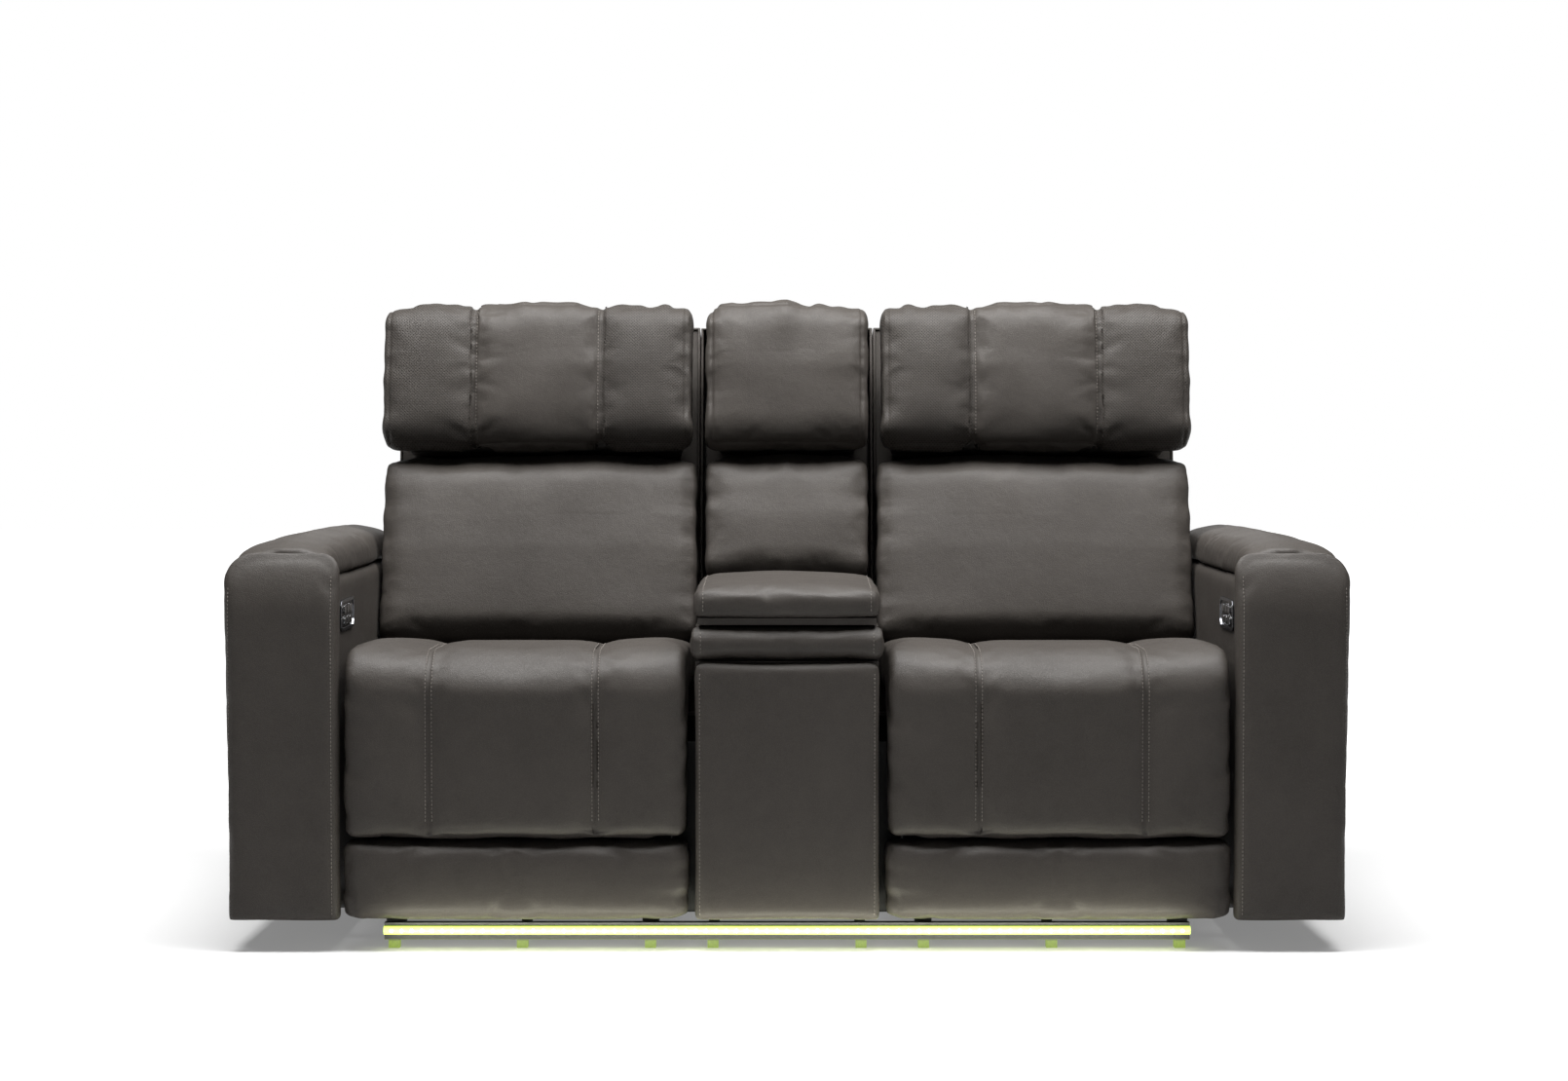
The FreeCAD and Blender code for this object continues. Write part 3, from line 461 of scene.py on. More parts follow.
def group_tree(name, inputs, outputs):
    """A node group with its sockets, given as pairs of a name and a kind."""
    tree = bpy.data.node_groups.new(name, "ShaderNodeTree")
    for direction, sockets in (("INPUT", inputs), ("OUTPUT", outputs)):
        for title, kind in sockets:
            tree.interface.new_socket(name=title, in_out=direction, socket_type="NodeSocket" + kind)
    return tree, tree.nodes.new("NodeGroupInput").outputs, tree.nodes.new("NodeGroupOutput")


def new_material(name):
    material = bpy.data.materials.new(name)
    material.use_nodes = True
    return material, material.node_tree, material.node_tree.nodes["Principled BSDF"]


def object_place(tree, turn=(0, 0, 0)):
    """Object coordinates, turned so that a pattern lines up with its piece."""
    place = node(tree, "TexCoord", {})["Object"]
    return node(tree, "Mapping", {"Rotation": turn, "Vector": place})["Vector"]


def bump(tree, height, strength, distance):
    return node(tree, "Bump", {"Strength": strength, "Distance": distance, "Height": height})["Normal"]

# %% The leather recipe
LEATHER_DARK = (0.0145, 0.0122, 0.0106, 1.0)
LEATHER_LIGHT = (0.0420, 0.0368, 0.0322, 1.0)
LEATHER_SHINE = 0.20
LEATHER_ROUGH = 0.44
GRAIN_SCALE = 420.0
GRAIN_WARP = 0.0022
GRAIN_BUMP = (0.55, 0.0009)


def leather_group():
    tree, start, end = group_tree(
        "leather_skin",
        [("Place", "Vector"), ("Dark", "Color"), ("Light", "Color"), ("Grain", "Float"), ("Gloss", "Float")],
        [("Colour", "Color"), ("Roughness", "Float"), ("Height", "Float")])
    place = start["Place"]
    warp = node(tree, "TexNoise", {"Vector": place, "Scale": 90.0, "Detail": 1.0})["Color"]
    bent = node(tree, "VectorMath", {0: warp, 1: (GRAIN_WARP,) * 3, 2: place}, operation="MULTIPLY_ADD")[0]
    pebbles = node(tree, "TexVoronoi", {"Vector": bent, "Scale": start["Grain"]}, feature="DISTANCE_TO_EDGE")
    cell = times(tree, pebbles["Distance"], 3.2, True)
    clouds = speckle(tree, place, 5.0, 4.0)
    rolled = speckle(tree, place, 38.0, 5.0, 0.62)
    tone = plus(tree, times(tree, clouds, 0.55), times(tree, rolled, 0.35))
    tone = plus(tree, times(tree, cell, 0.28), tone, True)
    matt = times(tree, less(tree, 0.62, clouds), 0.16)
    matt = plus(tree, matt, times(tree, less(tree, 1.0, cell), 0.14))
    feed(tree, end, {
        "Colour": mixed(tree, tone, start["Dark"], start["Light"]),
        "Roughness": plus(tree, matt, start["Gloss"], True),
        "Height": plus(tree, times(tree, cell, 0.30), times(tree, rolled, 1.6)),
    })
    return tree


LEATHER_GROUP = leather_group()


def leather_parts(tree):
    values = {"Place": object_place(tree), "Dark": LEATHER_DARK, "Light": LEATHER_LIGHT,
              "Grain": GRAIN_SCALE, "Gloss": LEATHER_ROUGH}
    return node(tree, "Group", values, node_tree=LEATHER_GROUP)


def plain_leather():
    material, tree, shader = new_material("leather")
    skin = leather_parts(tree)
    feed(tree, shader, {
        "Base Color": skin["Colour"],
        "Roughness": skin["Roughness"],
        "Specular IOR Level": LEATHER_SHINE,
        "Normal": bump(tree, skin["Height"], *GRAIN_BUMP),
    })
    return material


LEATHER = plain_leather()
print("leather ready")

# %% [markdown]
# ## Perforated leather
#
# The outer panels of the headrests breathe through rows of fine holes, set in quincunx. The rows follow the
# leaning face, so the pattern is turned by the lean of the back before it is laid out. Each hole is a dark
# dimple with a soft rim.

# %% Perforated leather
HOLE_PITCH = 0.0058
HOLE_RADIUS = 0.0011
HOLE_DARK = (0.004, 0.0036, 0.0032, 1)


def from_middle(tree, count, pitch):
    """How far a place lies from the middle of its cell, where count tells the cells."""
    return times(tree, less(tree, maths(tree, "FRACT", count), 0.5), pitch)


def perforated_leather():
    material, tree, shader = new_material("leather_perforated")
    skin = leather_parts(tree)
    turned = object_place(tree, turn=(LEAN, 0, 0))
    row = times(tree, axis_of(tree, turned, "Z"), 2 / HOLE_PITCH)
    shifted = times(tree, maths(tree, "FLOOR", row), 0.5)
    column = plus(tree, times(tree, axis_of(tree, turned, "X"), 1 / HOLE_PITCH), shifted)
    dx = from_middle(tree, column, HOLE_PITCH)
    dz = from_middle(tree, row, HOLE_PITCH / 2)
    far = maths(tree, "SQRT", plus(tree, times(tree, dx, dx), times(tree, dz, dz)))
    hole = less(tree, 1.0, maths(tree, "DIVIDE", far, HOLE_RADIUS), True)
    hole = times(tree, hole, 2.2, True)
    height = less(tree, skin["Height"], times(tree, hole, 1.2))
    feed(tree, shader, {
        "Base Color": mixed(tree, hole, skin["Colour"], HOLE_DARK),
        "Roughness": plus(tree, skin["Roughness"], times(tree, hole, 0.3), True),
        "Specular IOR Level": LEATHER_SHINE,
        "Normal": bump(tree, height, *GRAIN_BUMP),
    })
    return material


PERFORATED = perforated_leather()
print("holes every", HOLE_PITCH * 1000, "mm")

# %% [markdown]
# ## The other finishes
#
# Thread is slightly lighter than the hide. The frames are powder-coated steel, the rods zinc, the motors matt
# plastic, and the switch panel is satin chrome round a glossy black field.

# %% Simple finishes with a little wear and dirt
GLOW_GREEN = (0.46, 0.66, 0.07)
GLOSS_BLACK = (0.006, 0.006, 0.007)


def worn_group():
    tree, start, end = group_tree(
        "worn_surface",
        [("Place", "Vector"), ("Base", "Color"), ("Worn", "Color"),
         ("Speckle", "Float"), ("Roughness", "Float")],
        [("Colour", "Color"), ("Rough", "Float"), ("Height", "Float")])
    broad = speckle(tree, start["Place"], 14.0, 6.0)
    fine = speckle(tree, start["Place"], start["Speckle"])
    mask = times(tree, less(tree, broad, 0.52), 4.0, True)
    feed(tree, end, {
        "Colour": mixed(tree, mask, start["Base"], start["Worn"]),
        "Rough": plus(tree, start["Roughness"], times(tree, less(tree, fine, 0.5), 0.2), True),
        "Height": fine,
    })
    return tree


WORN = worn_group()


def finish(name, base, worn, rough, speckles, metal=0.0):
    material, tree, shader = new_material(name)
    values = {"Base": (*base, 1), "Worn": (*worn, 1), "Speckle": speckles, "Roughness": rough,
              "Place": object_place(tree)}
    skin = node(tree, "Group", values, node_tree=WORN)
    feed(tree, shader, {
        "Base Color": skin["Colour"],
        "Roughness": skin["Rough"],
        "Metallic": metal,
        "Normal": bump(tree, skin["Height"], 0.4, 0.0002),
    })
    return material


THREAD = finish("thread", (0.090, 0.079, 0.069), (0.120, 0.106, 0.093), 0.6, 900.0)
BLACK_STEEL = finish("black_steel", (0.012, 0.012, 0.013), (0.022, 0.022, 0.023), 0.45, 700.0)
ZINC = finish("zinc", (0.46, 0.47, 0.48), (0.58, 0.58, 0.58), 0.32, 900.0, metal=1.0)
BLACK_PLASTIC = finish("black_plastic", (0.012, 0.012, 0.012), (0.018, 0.018, 0.018), 0.5, 900.0)
MOTOR_PLASTIC = finish("motor_plastic", (0.022, 0.022, 0.024), (0.030, 0.030, 0.032), 0.42, 900.0)
DUST_AND_SHADE_LINING = finish("dust_and_shade_lining", (0.010, 0.010, 0.010), (0.016, 0.016, 0.016), 0.9, 1400.0)


def glow(name, colour, strength, base):
    material, tree, shader = new_material(name)
    texture = speckle(tree, object_place(tree), 160.0)
    feed(tree, shader, {
        "Base Color": (*base, 1),
        "Emission Color": ramp(tree, texture, (0.3, [c * 0.8 for c in colour]), (0.7, colour)),
        "Emission Strength": strength,
        "Roughness": 0.3,
    })
    return material


TUBE_GLOW = glow("light_tube", GLOW_GREEN, 2.4, (0.55, 0.62, 0.25))
LAMP_GLOW = glow("lamp", (1.0, 1.0, 0.80), 22.0, (1.0, 1.0, 0.9))


def switch_finish(name, bright, depth):
    """Satin chrome on the outermost face and glossy black on all that lies deeper in the arm."""
    material, tree, shader = new_material(name)
    place = object_place(tree)
    inward = maths(tree, "ABSOLUTE", axis_of(tree, place, "X"))
    deep = maths(tree, "GREATER_THAN", inward, depth)
    feed(tree, shader, {
        "Base Color": ramp(tree, deep, (0.0, bright), (1.0, GLOSS_BLACK)),
        "Metallic": less(tree, 1.0, deep),
        "Roughness": plus(tree, times(tree, speckle(tree, place, 260.0), 0.16), 0.14),
    })
    return material


SWITCH_PANEL = switch_finish("switch_panel", (0.40, 0.41, 0.44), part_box("right_switch_housing")[0].x + 0.0011)
KEY_CHROME = switch_finish("key_chrome", (0.74, 0.75, 0.77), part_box("right_key_back_recline")[0].x + 0.0002)
PAINTED_GLOW_TOP = 0.0160


def carrier():
    """Black plastic with a painted glow: emission makes its feet shine yellow-green as if lit by the strip."""
    material, tree, shader = new_material("strip_carrier_painted_glow")
    place = object_place(tree)
    # Painted glow: emission below this height stands in for the strip's light on the carrier's feet.
    painted_glow_feet = times(tree, less(tree, PAINTED_GLOW_TOP, axis_of(tree, place, "Z")), 200.0, True)
    speck = speckle(tree, place, 300.0)
    shade = plus(tree, times(tree, speck, 0.3), 0.35)
    feed(tree, shader, {
        "Emission Strength": times(tree, painted_glow_feet, shade),
        "Emission Color": (*GLOW_GREEN, 1),
        "Base Color": (0.012, 0.012, 0.012, 1),
        "Roughness": plus(tree, times(tree, speck, 0.2), 0.4),
    })
    return material


CARRIER = carrier()
print("finishes ready")


def dress(obj, *materials):
    obj.data.materials.clear()
    for material in materials:
        obj.data.materials.append(material)
    return obj

# %% [markdown]
# ## Studio
#
# The photo was taken from straight ahead, a little above the seat, with a long lens, under one wide soft
# light overhead and a weaker one in front. The floor is white to the camera and still takes the shadow.

# %% Camera
CAMERA_PLACE = (-0.005, -5.46, 0.859)
CAMERA_DOWN = 2.13
LENS = 70.7

camera = in_scene(bpy.data.objects.new("camera", bpy.data.cameras.new("camera")))
assign(camera.data, sensor_width=36.0, lens=LENS)
camera.location = CAMERA_PLACE
camera.rotation_euler = (math.radians(90 - CAMERA_DOWN), 0, 0)
bpy.context.scene.camera = camera

# %% Lights and floor
WHITE = (1, 1, 1, 1)
SKY_STRENGTH = 0.10
FLOOR_TONE = (0.46, 0.46, 0.46, 1)
FLOOR_LIFT = 0.22
FLOOR_NEAR = 1.5
FLOOR_FADE = 1.2


def soft_light(name, place, aim, size, power, colour=(1, 1, 1)):
    data = assign(bpy.data.lights.new(name, "AREA"), shape="RECTANGLE", size=size[0], size_y=size[1],
                  energy=power, color=colour)
    light = in_scene(bpy.data.objects.new(name, data))
    light.location = place
    light.rotation_euler = (Vector(aim) - Vector(place)).to_track_quat("-Z", "Y").to_euler()
    return light


soft_light("overhead", (0, -0.58, 3.0), (0, 0.0, 0.4), (3.6, 1.2), 350)
soft_light("front", (0, -5.2, 2.3), (0, 0, 0.5), (4.0, 2.2), 8)
soft_light("rear", (0, 4.2, 2.6), (0, 0, 0.7), (3.6, 2.0), 30)
strip_light = soft_light("strip_glow", (0, ARM_FRONT_Y - 0.030, 0.022), (0, ARM_FRONT_Y + 0.010, 0.060),
                         (1.32, 0.012), 1.8, (1.0, 1.0, 0.82))
strip_light.visible_camera = False


def seen_by(tree, *rays):
    """One where a ray of one of the given kinds looks."""
    path = node(tree, "LightPath", {})
    seen = path[rays[0]]
    for ray in rays[1:]:
        seen = maths(tree, "MAXIMUM", seen, path[ray])
    return seen


world = assign(bpy.data.worlds.new("studio"), use_nodes=True)
bpy.context.scene.world = world
sky = world.node_tree
sky_light = feed(sky, sky.nodes["Background"], {"Color": WHITE, "Strength": SKY_STRENGTH}).outputs[0]
sky_seen = node(sky, "Background", {"Color": WHITE, "Strength": 1.0})[0]
seen = seen_by(sky, "Is Camera Ray", "Is Transmission Ray")
sky_mix = node(sky, "MixShader", {0: seen, 1: sky_light, 2: sky_seen})[0]
feed(sky, sky.nodes["World Output"], {"Surface": sky_mix})

bpy.ops.mesh.primitive_plane_add(size=40, location=(0, 0, -0.0005))
floor = named(only(bpy.context.object), "floor")
floor_material, floor_tree, floor_shader = new_material("floor")
floor_place = node(floor_tree, "TexCoord", {})["Object"]
floor_far = node(floor_tree, "VectorMath", {0: floor_place}, operation="LENGTH")["Value"]
floor_far = times(floor_tree, less(floor_tree, floor_far, FLOOR_NEAR), FLOOR_FADE, True)
floor_seen = seen_by(floor_tree, "Is Camera Ray", "Is Glossy Ray", "Is Transmission Ray")
feed(floor_tree, floor_shader, {
    "Base Color": FLOOR_TONE,
    "Roughness": 0.9,
    "Specular IOR Level": 0.0,
    "Emission Color": WHITE,
    "Emission Strength": times(floor_tree, floor_seen, plus(floor_tree, floor_far, FLOOR_LIFT)),
})
dress(floor, floor_material)
bpy.context.scene.view_settings.view_transform = "Standard"
print("studio ready")

# %% [markdown]
# ## The seat, the front roll and the leg-rest pad in one cover
#
# From the saddle of the seat over the big front roll and down the front of the leg-rest the leather runs on
# without a break. It is blocked out from a drum for the roll, a slab for the seat and a slab for the
# leg-rest, which one remesh fuses into a single skin.

# %% Block out the seat cover
SEAT_LOW, SEAT_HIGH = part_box("right_seat_cushion")
PADS_LOW, PADS_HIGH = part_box("right_legrest_pads")
SEAT_MID_X = (SEAT_LOW.x + SEAT_HIGH.x) / 2
SEAT_SEAM = 0.136
SEAM_MID_X = SEAT_MID_X + 0.005
END_ROUND = 0.016
SEAT_SIDE = 0.003
DRUM_RADIUS = 0.073
SADDLE_FALL = 0.013
REAR_FALL = 0.030
PAD_FOOT_Z = 0.1925
FRONT_BOW = 0.010
SADDLE_DIP = 0.008
PAD_GAP_Z = 0.190


def block(name, low, high, rounding=0.0, steps=3):
    """A box primitive between two corners, its edges rounded."""
    low, high = Vector(low), Vector(high)
    bpy.ops.mesh.primitive_cube_add(size=1)
    obj = bpy.context.object
    edit(obj)
    bpy.ops.transform.resize(value=high - low)
    bpy.ops.transform.translate(value=(low + high) / 2)
    if rounding:
        bpy.ops.mesh.bevel(offset=rounding, segments=steps, profile=0.5, affect="EDGES")
    edited()
    return named(obj, name)


def select_where(obj, test):
    """Opens obj in edit mode, with the points that pass the test selected."""
    edit(obj, "DESELECT")
    bpy.ops.mesh.select_mode(type="VERT")
    edited()
    for vertex in obj.data.vertices:
        vertex.select = bool(test(vertex.co))
    bpy.ops.object.mode_set(mode="EDIT")


def lower(obj, test, fall):
    select_where(obj, test)
    bpy.ops.transform.translate(value=(0, 0, -fall))
    edited()


def round_sharp(obj, angle):
    """Rounds the edges of obj that turn by more than an angle in degrees."""
    edit(obj, "DESELECT")
    bpy.ops.mesh.select_mode(type="EDGE")
    bpy.ops.mesh.select_all(action="DESELECT")
    bpy.ops.mesh.edges_select_sharp(sharpness=math.radians(angle))
    bpy.ops.mesh.bevel(offset=END_ROUND, segments=4, profile=0.5, affect="EDGES")
    edited()


def seat_block():
    bpy.ops.mesh.primitive_cylinder_add(vertices=64, radius=DRUM_RADIUS,
                                        depth=SEAT_HIGH.x - SEAT_LOW.x - 2 * SEAT_SIDE,
                                        location=(SEAT_MID_X, ROLL.y, ROLL.z),
                                        rotation=(0, math.radians(90), 0))
    roll = only(bpy.context.object)
    bpy.ops.object.transform_apply(location=True, rotation=True, scale=True)
    round_sharp(roll, 60)
    left, right = SEAT_LOW.x + SEAT_SIDE, SEAT_HIGH.x - SEAT_SIDE
    crest = ROLL.z + DRUM_RADIUS
    saddle = block("saddle", (left, ROLL.y, SEAT_LOW.z + 0.056), (right, SEAT_HIGH.y - 0.002, crest))
    cut(saddle, [(0, ROLL.y + 0.13, 0), (0, ROLL.y + 0.30, 0)], (0, 1, 0))
    lower(saddle, lambda co: co.z > crest - 0.001 and co.y > ROLL.y + 0.25, SADDLE_FALL)
    lower(saddle, lambda co: co.z > crest - 0.021 and co.y > SEAT_HIGH.y - 0.01, REAR_FALL)
    round_sharp(saddle, 50)
    pad = block("pad", (left, PADS_LOW.y + 0.003, PAD_FOOT_Z), (right, PADS_HIGH.y - 0.001, ROLL.z), 0.014, 4)
    return joined("right_seat_cover", [roll, saddle, pad])


def bowed(obj):
    """Bows the seam between the two front pads down in the middle, and dips the saddle."""
    co = rows_of(obj)
    share = np.clip((co[:, 0] - SEAT_MID_X) / (SEAT_HIGH.x - SEAT_MID_X), -1, 1) ** 2
    near = np.clip(1 - np.abs(co[:, 2] - PAD_GAP_Z) / 0.13, 0, 1)
    near *= co[:, 1] < PADS_HIGH.y + 0.004
    crest = np.clip((co[:, 2] - ROLL.z) / 0.06, 0, 1)
    co[:, 2] += (0.25 * share - 0.75) * FRONT_BOW * near - SADDLE_DIP * (1 - share) * crest
    set_points(obj, co)
    return obj


def seat_pinned(co, no):
    under = (no[:, 2] < -0.6) & (co[:, 1] > ROLL.y - 0.02)
    behind = (co[:, 1] > PADS_HIGH.y - 0.004) & (co[:, 2] < 0.36)
    rear = co[:, 1] > SEAT_HIGH.y - 0.01
    seams = np.abs(np.abs(co[:, 0] - SEAM_MID_X) - SEAT_SEAM) < 0.003
    sides = np.abs(no[:, 0]) > 0.8
    return under | behind | rear | seams | sides


def seat_shown(co, no):
    return (no[:, 2] > -0.55) * (co[:, 1] < SEAT_HIGH.y) * 1.0


def seat_cover():
    obj = bowed(stuff(seat_block(), 0.0072, seat_pinned, pressure=3.2, cap=0.007, ease=0.012, smooth=6))
    for sign in (-1, 1):
        seam = SEAM_MID_X + sign * SEAT_SEAM
        fine_band(obj, seam)
        sink(obj, across(0, seam), 0.0030, 0.0026, where=seat_shown)
        sink(obj, across(0, seam), 0.022, 0.0028, over_roll, 0.055, 0.0011, 0.03, 3 + sign, seat_shown)
    side_folds(obj, (SEAT_LOW.x, SEAT_HIGH.x), over_roll, 0.030, 0.0030, 0.028, (12, 10))
    gather(obj, across(2, 0.192), across(0), 0.034, 0.0020, 0.022, 23, lambda co, no: (co[:, 2] < 0.30) * 1.0)
    return creases(obj, 0.11, 0.0022, 5, lambda co, no: (no[:, 2] > -0.5) * 1.0)


right_seat = seat_cover()
mirrored(right_seat, "left_seat_cover")
print("seat cover points", len(right_seat.data.vertices))

# %% [markdown]
# ## The toe pad
#
# Below the leg-rest pad hangs a second, thinner pad. It starts as a copy of its plain solid, which holds
# both pads, so the upper one is cut away first.

# %% Toe pad
TOE_TOP = 0.1872


def toe_pad():
    obj = copy_of("right_legrest_pads", "right_toe_pad")
    select_where(obj, lambda co: co.z > TOE_TOP)
    bpy.ops.mesh.delete(type="VERT")
    edited()
    back = PADS_HIGH.y - 0.003
    stuff(obj, 0.0060, lambda co, no: (co[:, 1] > back) | (no[:, 1] > 0.8) | (np.abs(no[:, 0]) > 0.9),
          pressure=3.5, cap=0.006, ease=0.015)
    bowed(obj)
    side_folds(obj, (PADS_LOW.x, PADS_HIGH.x), across(2), 0.022, 0.0035, 0.026, (32, 30))
    return creases(obj, 0.09, 0.0016, 6)


mirrored(toe_pad(), "left_toe_pad")

# %% [markdown]
# ## Back cushions
#
# Each back is a plain pillow. Its top edge runs into the shadow under the headrest and gathers slightly
# there, and its side seams are ruffled.

# %% Back cushions
def back_held(co, no):
    return (leaned(co)[:, 1] > 0.024) | (np.abs(no[:, 0]) > 0.9)


def back_pillow(cad, name, seed):
    obj = copy_of(cad, name)
    low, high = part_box(cad)
    stuff(obj, 0.0068, back_held, pressure=3.6, cap=0.009, ease=0.012, smooth=5)
    front = lambda co, no: (leaned(co)[:, 1] < 0.01) * 1.0
    side_folds(obj, (low.x, high.x), up_back, 0.030, 0.0023, 0.026, (seed, seed), front)
    top = up_back(rows_of(obj)).max()
    gather(obj, lambda co: up_back(co) - top, across(0), 0.040, 0.0036, 0.040, seed + 4, front)
    return creases(obj, 0.13, 0.0026, seed, front)


mirrored(back_pillow("right_back_cushion", "right_back_pillow", 7), "left_back_pillow")
back_pillow("console_back_cushion", "centre_back_pillow", 9)

# %% [markdown]
# ## Headrests
#
# The headrest is the fullest cushion: its top is gathered into small folds where the front panel is eased
# onto the boxing, and on the two outer ones a seam on each side of the middle panel is drawn deep.

# %% Headrests
PILLOW_LOW, PILLOW_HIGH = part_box("right_headrest_pillow")
PILLOW_MID = (PILLOW_LOW.x + PILLOW_HIGH.x) / 2
PILLOW_SEAM = 0.116
BOXING_INSET = 0.011


def pillow_front(co, no):
    return (leaned(co)[:, 1] < -0.06) * 1.0


def pillow(cad, name, seams, seed):
    obj = copy_of(cad, name)
    low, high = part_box(cad)

    def held(co, no):
        near = np.zeros(len(co), bool)
        for seam in seams:
            near |= np.abs(co[:, 0] - seam) < 0.003
        return (leaned(co)[:, 1] > -0.056) | (np.abs(no[:, 0]) > 0.9) | near

    stuff(obj, 0.0059, held, pressure=4.2, cap=0.008, ease=0.02, smooth=4)
    top = up_back(rows_of(obj)).max()
    for seam in seams:
        fine_band(obj, seam)
        sink(obj, across(0, seam), 0.0032, 0.0034)
        sink(obj, across(0, seam), 0.020, 0.0040, up_back, 0.045, 0.0022, 0.030, seed + int(seam * 100),
             pillow_front)
    gather(obj, lambda co: up_back(co) - top, across(0), 0.030, 0.0052, 0.034, seed)
    side_folds(obj, (low.x, high.x), up_back, 0.030, 0.0030, 0.026, (seed + 5, seed + 5), pillow_front)
    creases(obj, 0.085, 0.0026, seed, pillow_front)
    bottom = up_back(rows_of(obj)).min()

    def to_boxing(co):
        place = leaned(co)
        edge = np.minimum(np.minimum(co[:, 0] - low.x, high.x - co[:, 0]),
                          np.minimum(top - place[:, 2], place[:, 2] - bottom))
        return edge - BOXING_INSET

    return sink(obj, to_boxing, 0.0026, 0.0022, where=pillow_front)


PILLOW_SEAMS = (PILLOW_MID - PILLOW_SEAM, PILLOW_MID + PILLOW_SEAM)
right_pillow = pillow("right_headrest_pillow", "right_headrest", PILLOW_SEAMS, 13)
left_pillow = mirrored(right_pillow, "left_headrest")
pillow("console_headrest", "centre_headrest", (), 17)


def panel_materials(obj, seams_at):
    """Plain leather in the middle panel, perforated leather on the front of the outer panels."""
    dress(obj, LEATHER, PERFORATED)
    low, high = min(seams_at), max(seams_at)
    for face in obj.data.polygons:
        centre = face.center
        outer = centre.x < low or centre.x > high
        rel = centre - BACK_HINGE
        face.material_index = int(outer and rel.dot(OUT_BACK) < -0.075)


panel_materials(right_pillow, PILLOW_SEAMS)
panel_materials(left_pillow, [-s for s in PILLOW_SEAMS])

# %% [markdown]
# ## Arms
#
# The arm is a padded box. A separate band of leather wraps its front edge with a row of stitches along each
# side, and on top lies an arched pad.

# %% Arms
ARM_LOW, ARM_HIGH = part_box("right_arm_frame")
BAND_LOW, BAND_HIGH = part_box("right_arm_front_band")
BAND_ROLL_HEIGHT = 0.105
BAND_ROLL_DEPTH = 0.027


def arm_band():
    obj = copy_of("right_arm_front_band", "right_arm_band")
    held = lambda co, no: (co[:, 1] > BAND_HIGH.y - 0.003) | (co[:, 2] < BAND_LOW.z + 0.004)
    stuff(obj, 0.0057, held, pressure=2.6, cap=0.0035, ease=0.006, smooth=5)
    co = rows_of(obj)
    rise = np.clip((co[:, 2] - BAND_HIGH.z + BAND_ROLL_HEIGHT) / BAND_ROLL_HEIGHT, 0, 1)
    share = np.clip((BAND_HIGH.y - co[:, 1]) / (BAND_HIGH.y - BAND_LOW.y), 0, 1)
    co[:, 1] += BAND_ROLL_DEPTH * rise ** 2 * share
    set_points(obj, co)
    return creases(obj, 0.10, 0.0013, 21)


def arm_top():
    obj = copy_of("right_arm_pad", "right_arm_top")
    low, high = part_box("right_arm_pad")
    stuff(obj, 0.0067, lambda co, no: co[:, 2] < low.z + 0.010, pressure=3.0, cap=0.006, ease=0.01, smooth=5)
    for edge in (low.y, high.y):
        gather(obj, across(1, edge), across(0), 0.030, 0.0022, 0.030, 25)
    return creases(obj, 0.10, 0.0018, 22)


def arm_body():
    obj = block("right_arm_body", (ARM_LOW.x - 0.0015, ARM_LOW.y + 0.002, ARM_LOW.z),
                (ARM_HIGH.x + 0.004, ARM_HIGH.y + 0.004, ARM_HIGH.z + 0.001), 0.010, 4)
    held = lambda co, no: (no[:, 2] < -0.9) | (no[:, 2] > 0.9) | (no[:, 0] < -0.9) | (no[:, 1] < -0.9)
    stuff(obj, 0.0110, held, pressure=2.2, cap=0.004, ease=0.004, smooth=4)
    return creases(obj, 0.14, 0.0012, 23, lambda co, no: (no[:, 0] > -0.5) * 1.0)


right_band = arm_band()
mirrored(right_band, "left_arm_band")
mirrored(arm_top(), "left_arm_top")
mirrored(arm_body(), "left_arm_body")

# %% [markdown]
# ## The console's leather
#
# A tall flat panel closes the front, above it lies a small padded roll, and the lid has the fullest pad, puffed
# at the front.

# %% Console leather
def console_front():
    obj = copy_of("console_front_panel", "console_front_leather")
    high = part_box("console_front_panel")[1]
    stuff(obj, 0.0064, lambda co, no: (co[:, 1] > high.y - 0.003), pressure=2.4, cap=0.0035, ease=0.006)
    return creases(obj, 0.12, 0.0014, 41)


def console_roll():
    obj = copy_of("console_upper_roll", "console_roll_leather")
    low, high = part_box("console_upper_roll")
    stuff(obj, 0.0045, lambda co, no: (co[:, 1] > high.y - 0.003), pressure=3.2, cap=0.004, ease=0.012)
    side_folds(obj, (low.x, high.x), over_roll, 0.012, 0.0022, 0.012, (43, 43))
    return obj


def lid_pad():
    obj = copy_of("console_lid_pad", "console_lid_leather")
    low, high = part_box("console_lid_pad")
    stuff(obj, 0.0060, lambda co, no: (co[:, 2] < low.z + 0.003), pressure=3.8, cap=0.007, ease=0.012)
    side_folds(obj, (low.x, high.x), lambda co: co[:, 1] - co[:, 2], 0.024, 0.0024, 0.024, (45, 45))
    return creases(obj, 0.08, 0.0016, 46)


console_front_piece = console_front()
console_roll_piece = console_roll()
lid_piece = lid_pad()

# %% [markdown]
# ## Leather behind and beside the backs
#
# From behind and from the side the timber tray of each back is covered in leather too. It is made as four thin
# padded panels that meet at the corners, in the frame of the back, and is then leaned with it. A folded gusset
# closes the gap between the tray and the headrest, so that the headrest can tilt.

# %% Back jackets and gussets
BACK_TOP_W = 0.7562
PANEL_THICK = 0.005
REAR_U = 0.1345
GUSSET_FOOT = 0.515
GUSSET_TOP = 0.742
CENTRE_HALF = 0.1562
FRONT_U = 0.031


def lean_place(x, u, w):
    return Vector((x, 0, 0)) + BACK_HINGE + OUT_BACK * u + UP_BACK * w


def lean_piece(obj):
    """Turns a piece made in the frame of the back into place."""
    co = rows_of(obj)
    out = (np.array(BACK_HINGE)[None, :] + co[:, 1:2] * np.array(OUT_BACK)[None, :]
           + co[:, 2:3] * np.array(UP_BACK)[None, :])
    out[:, 0] = co[:, 0]
    set_points(obj, out)
    return obj


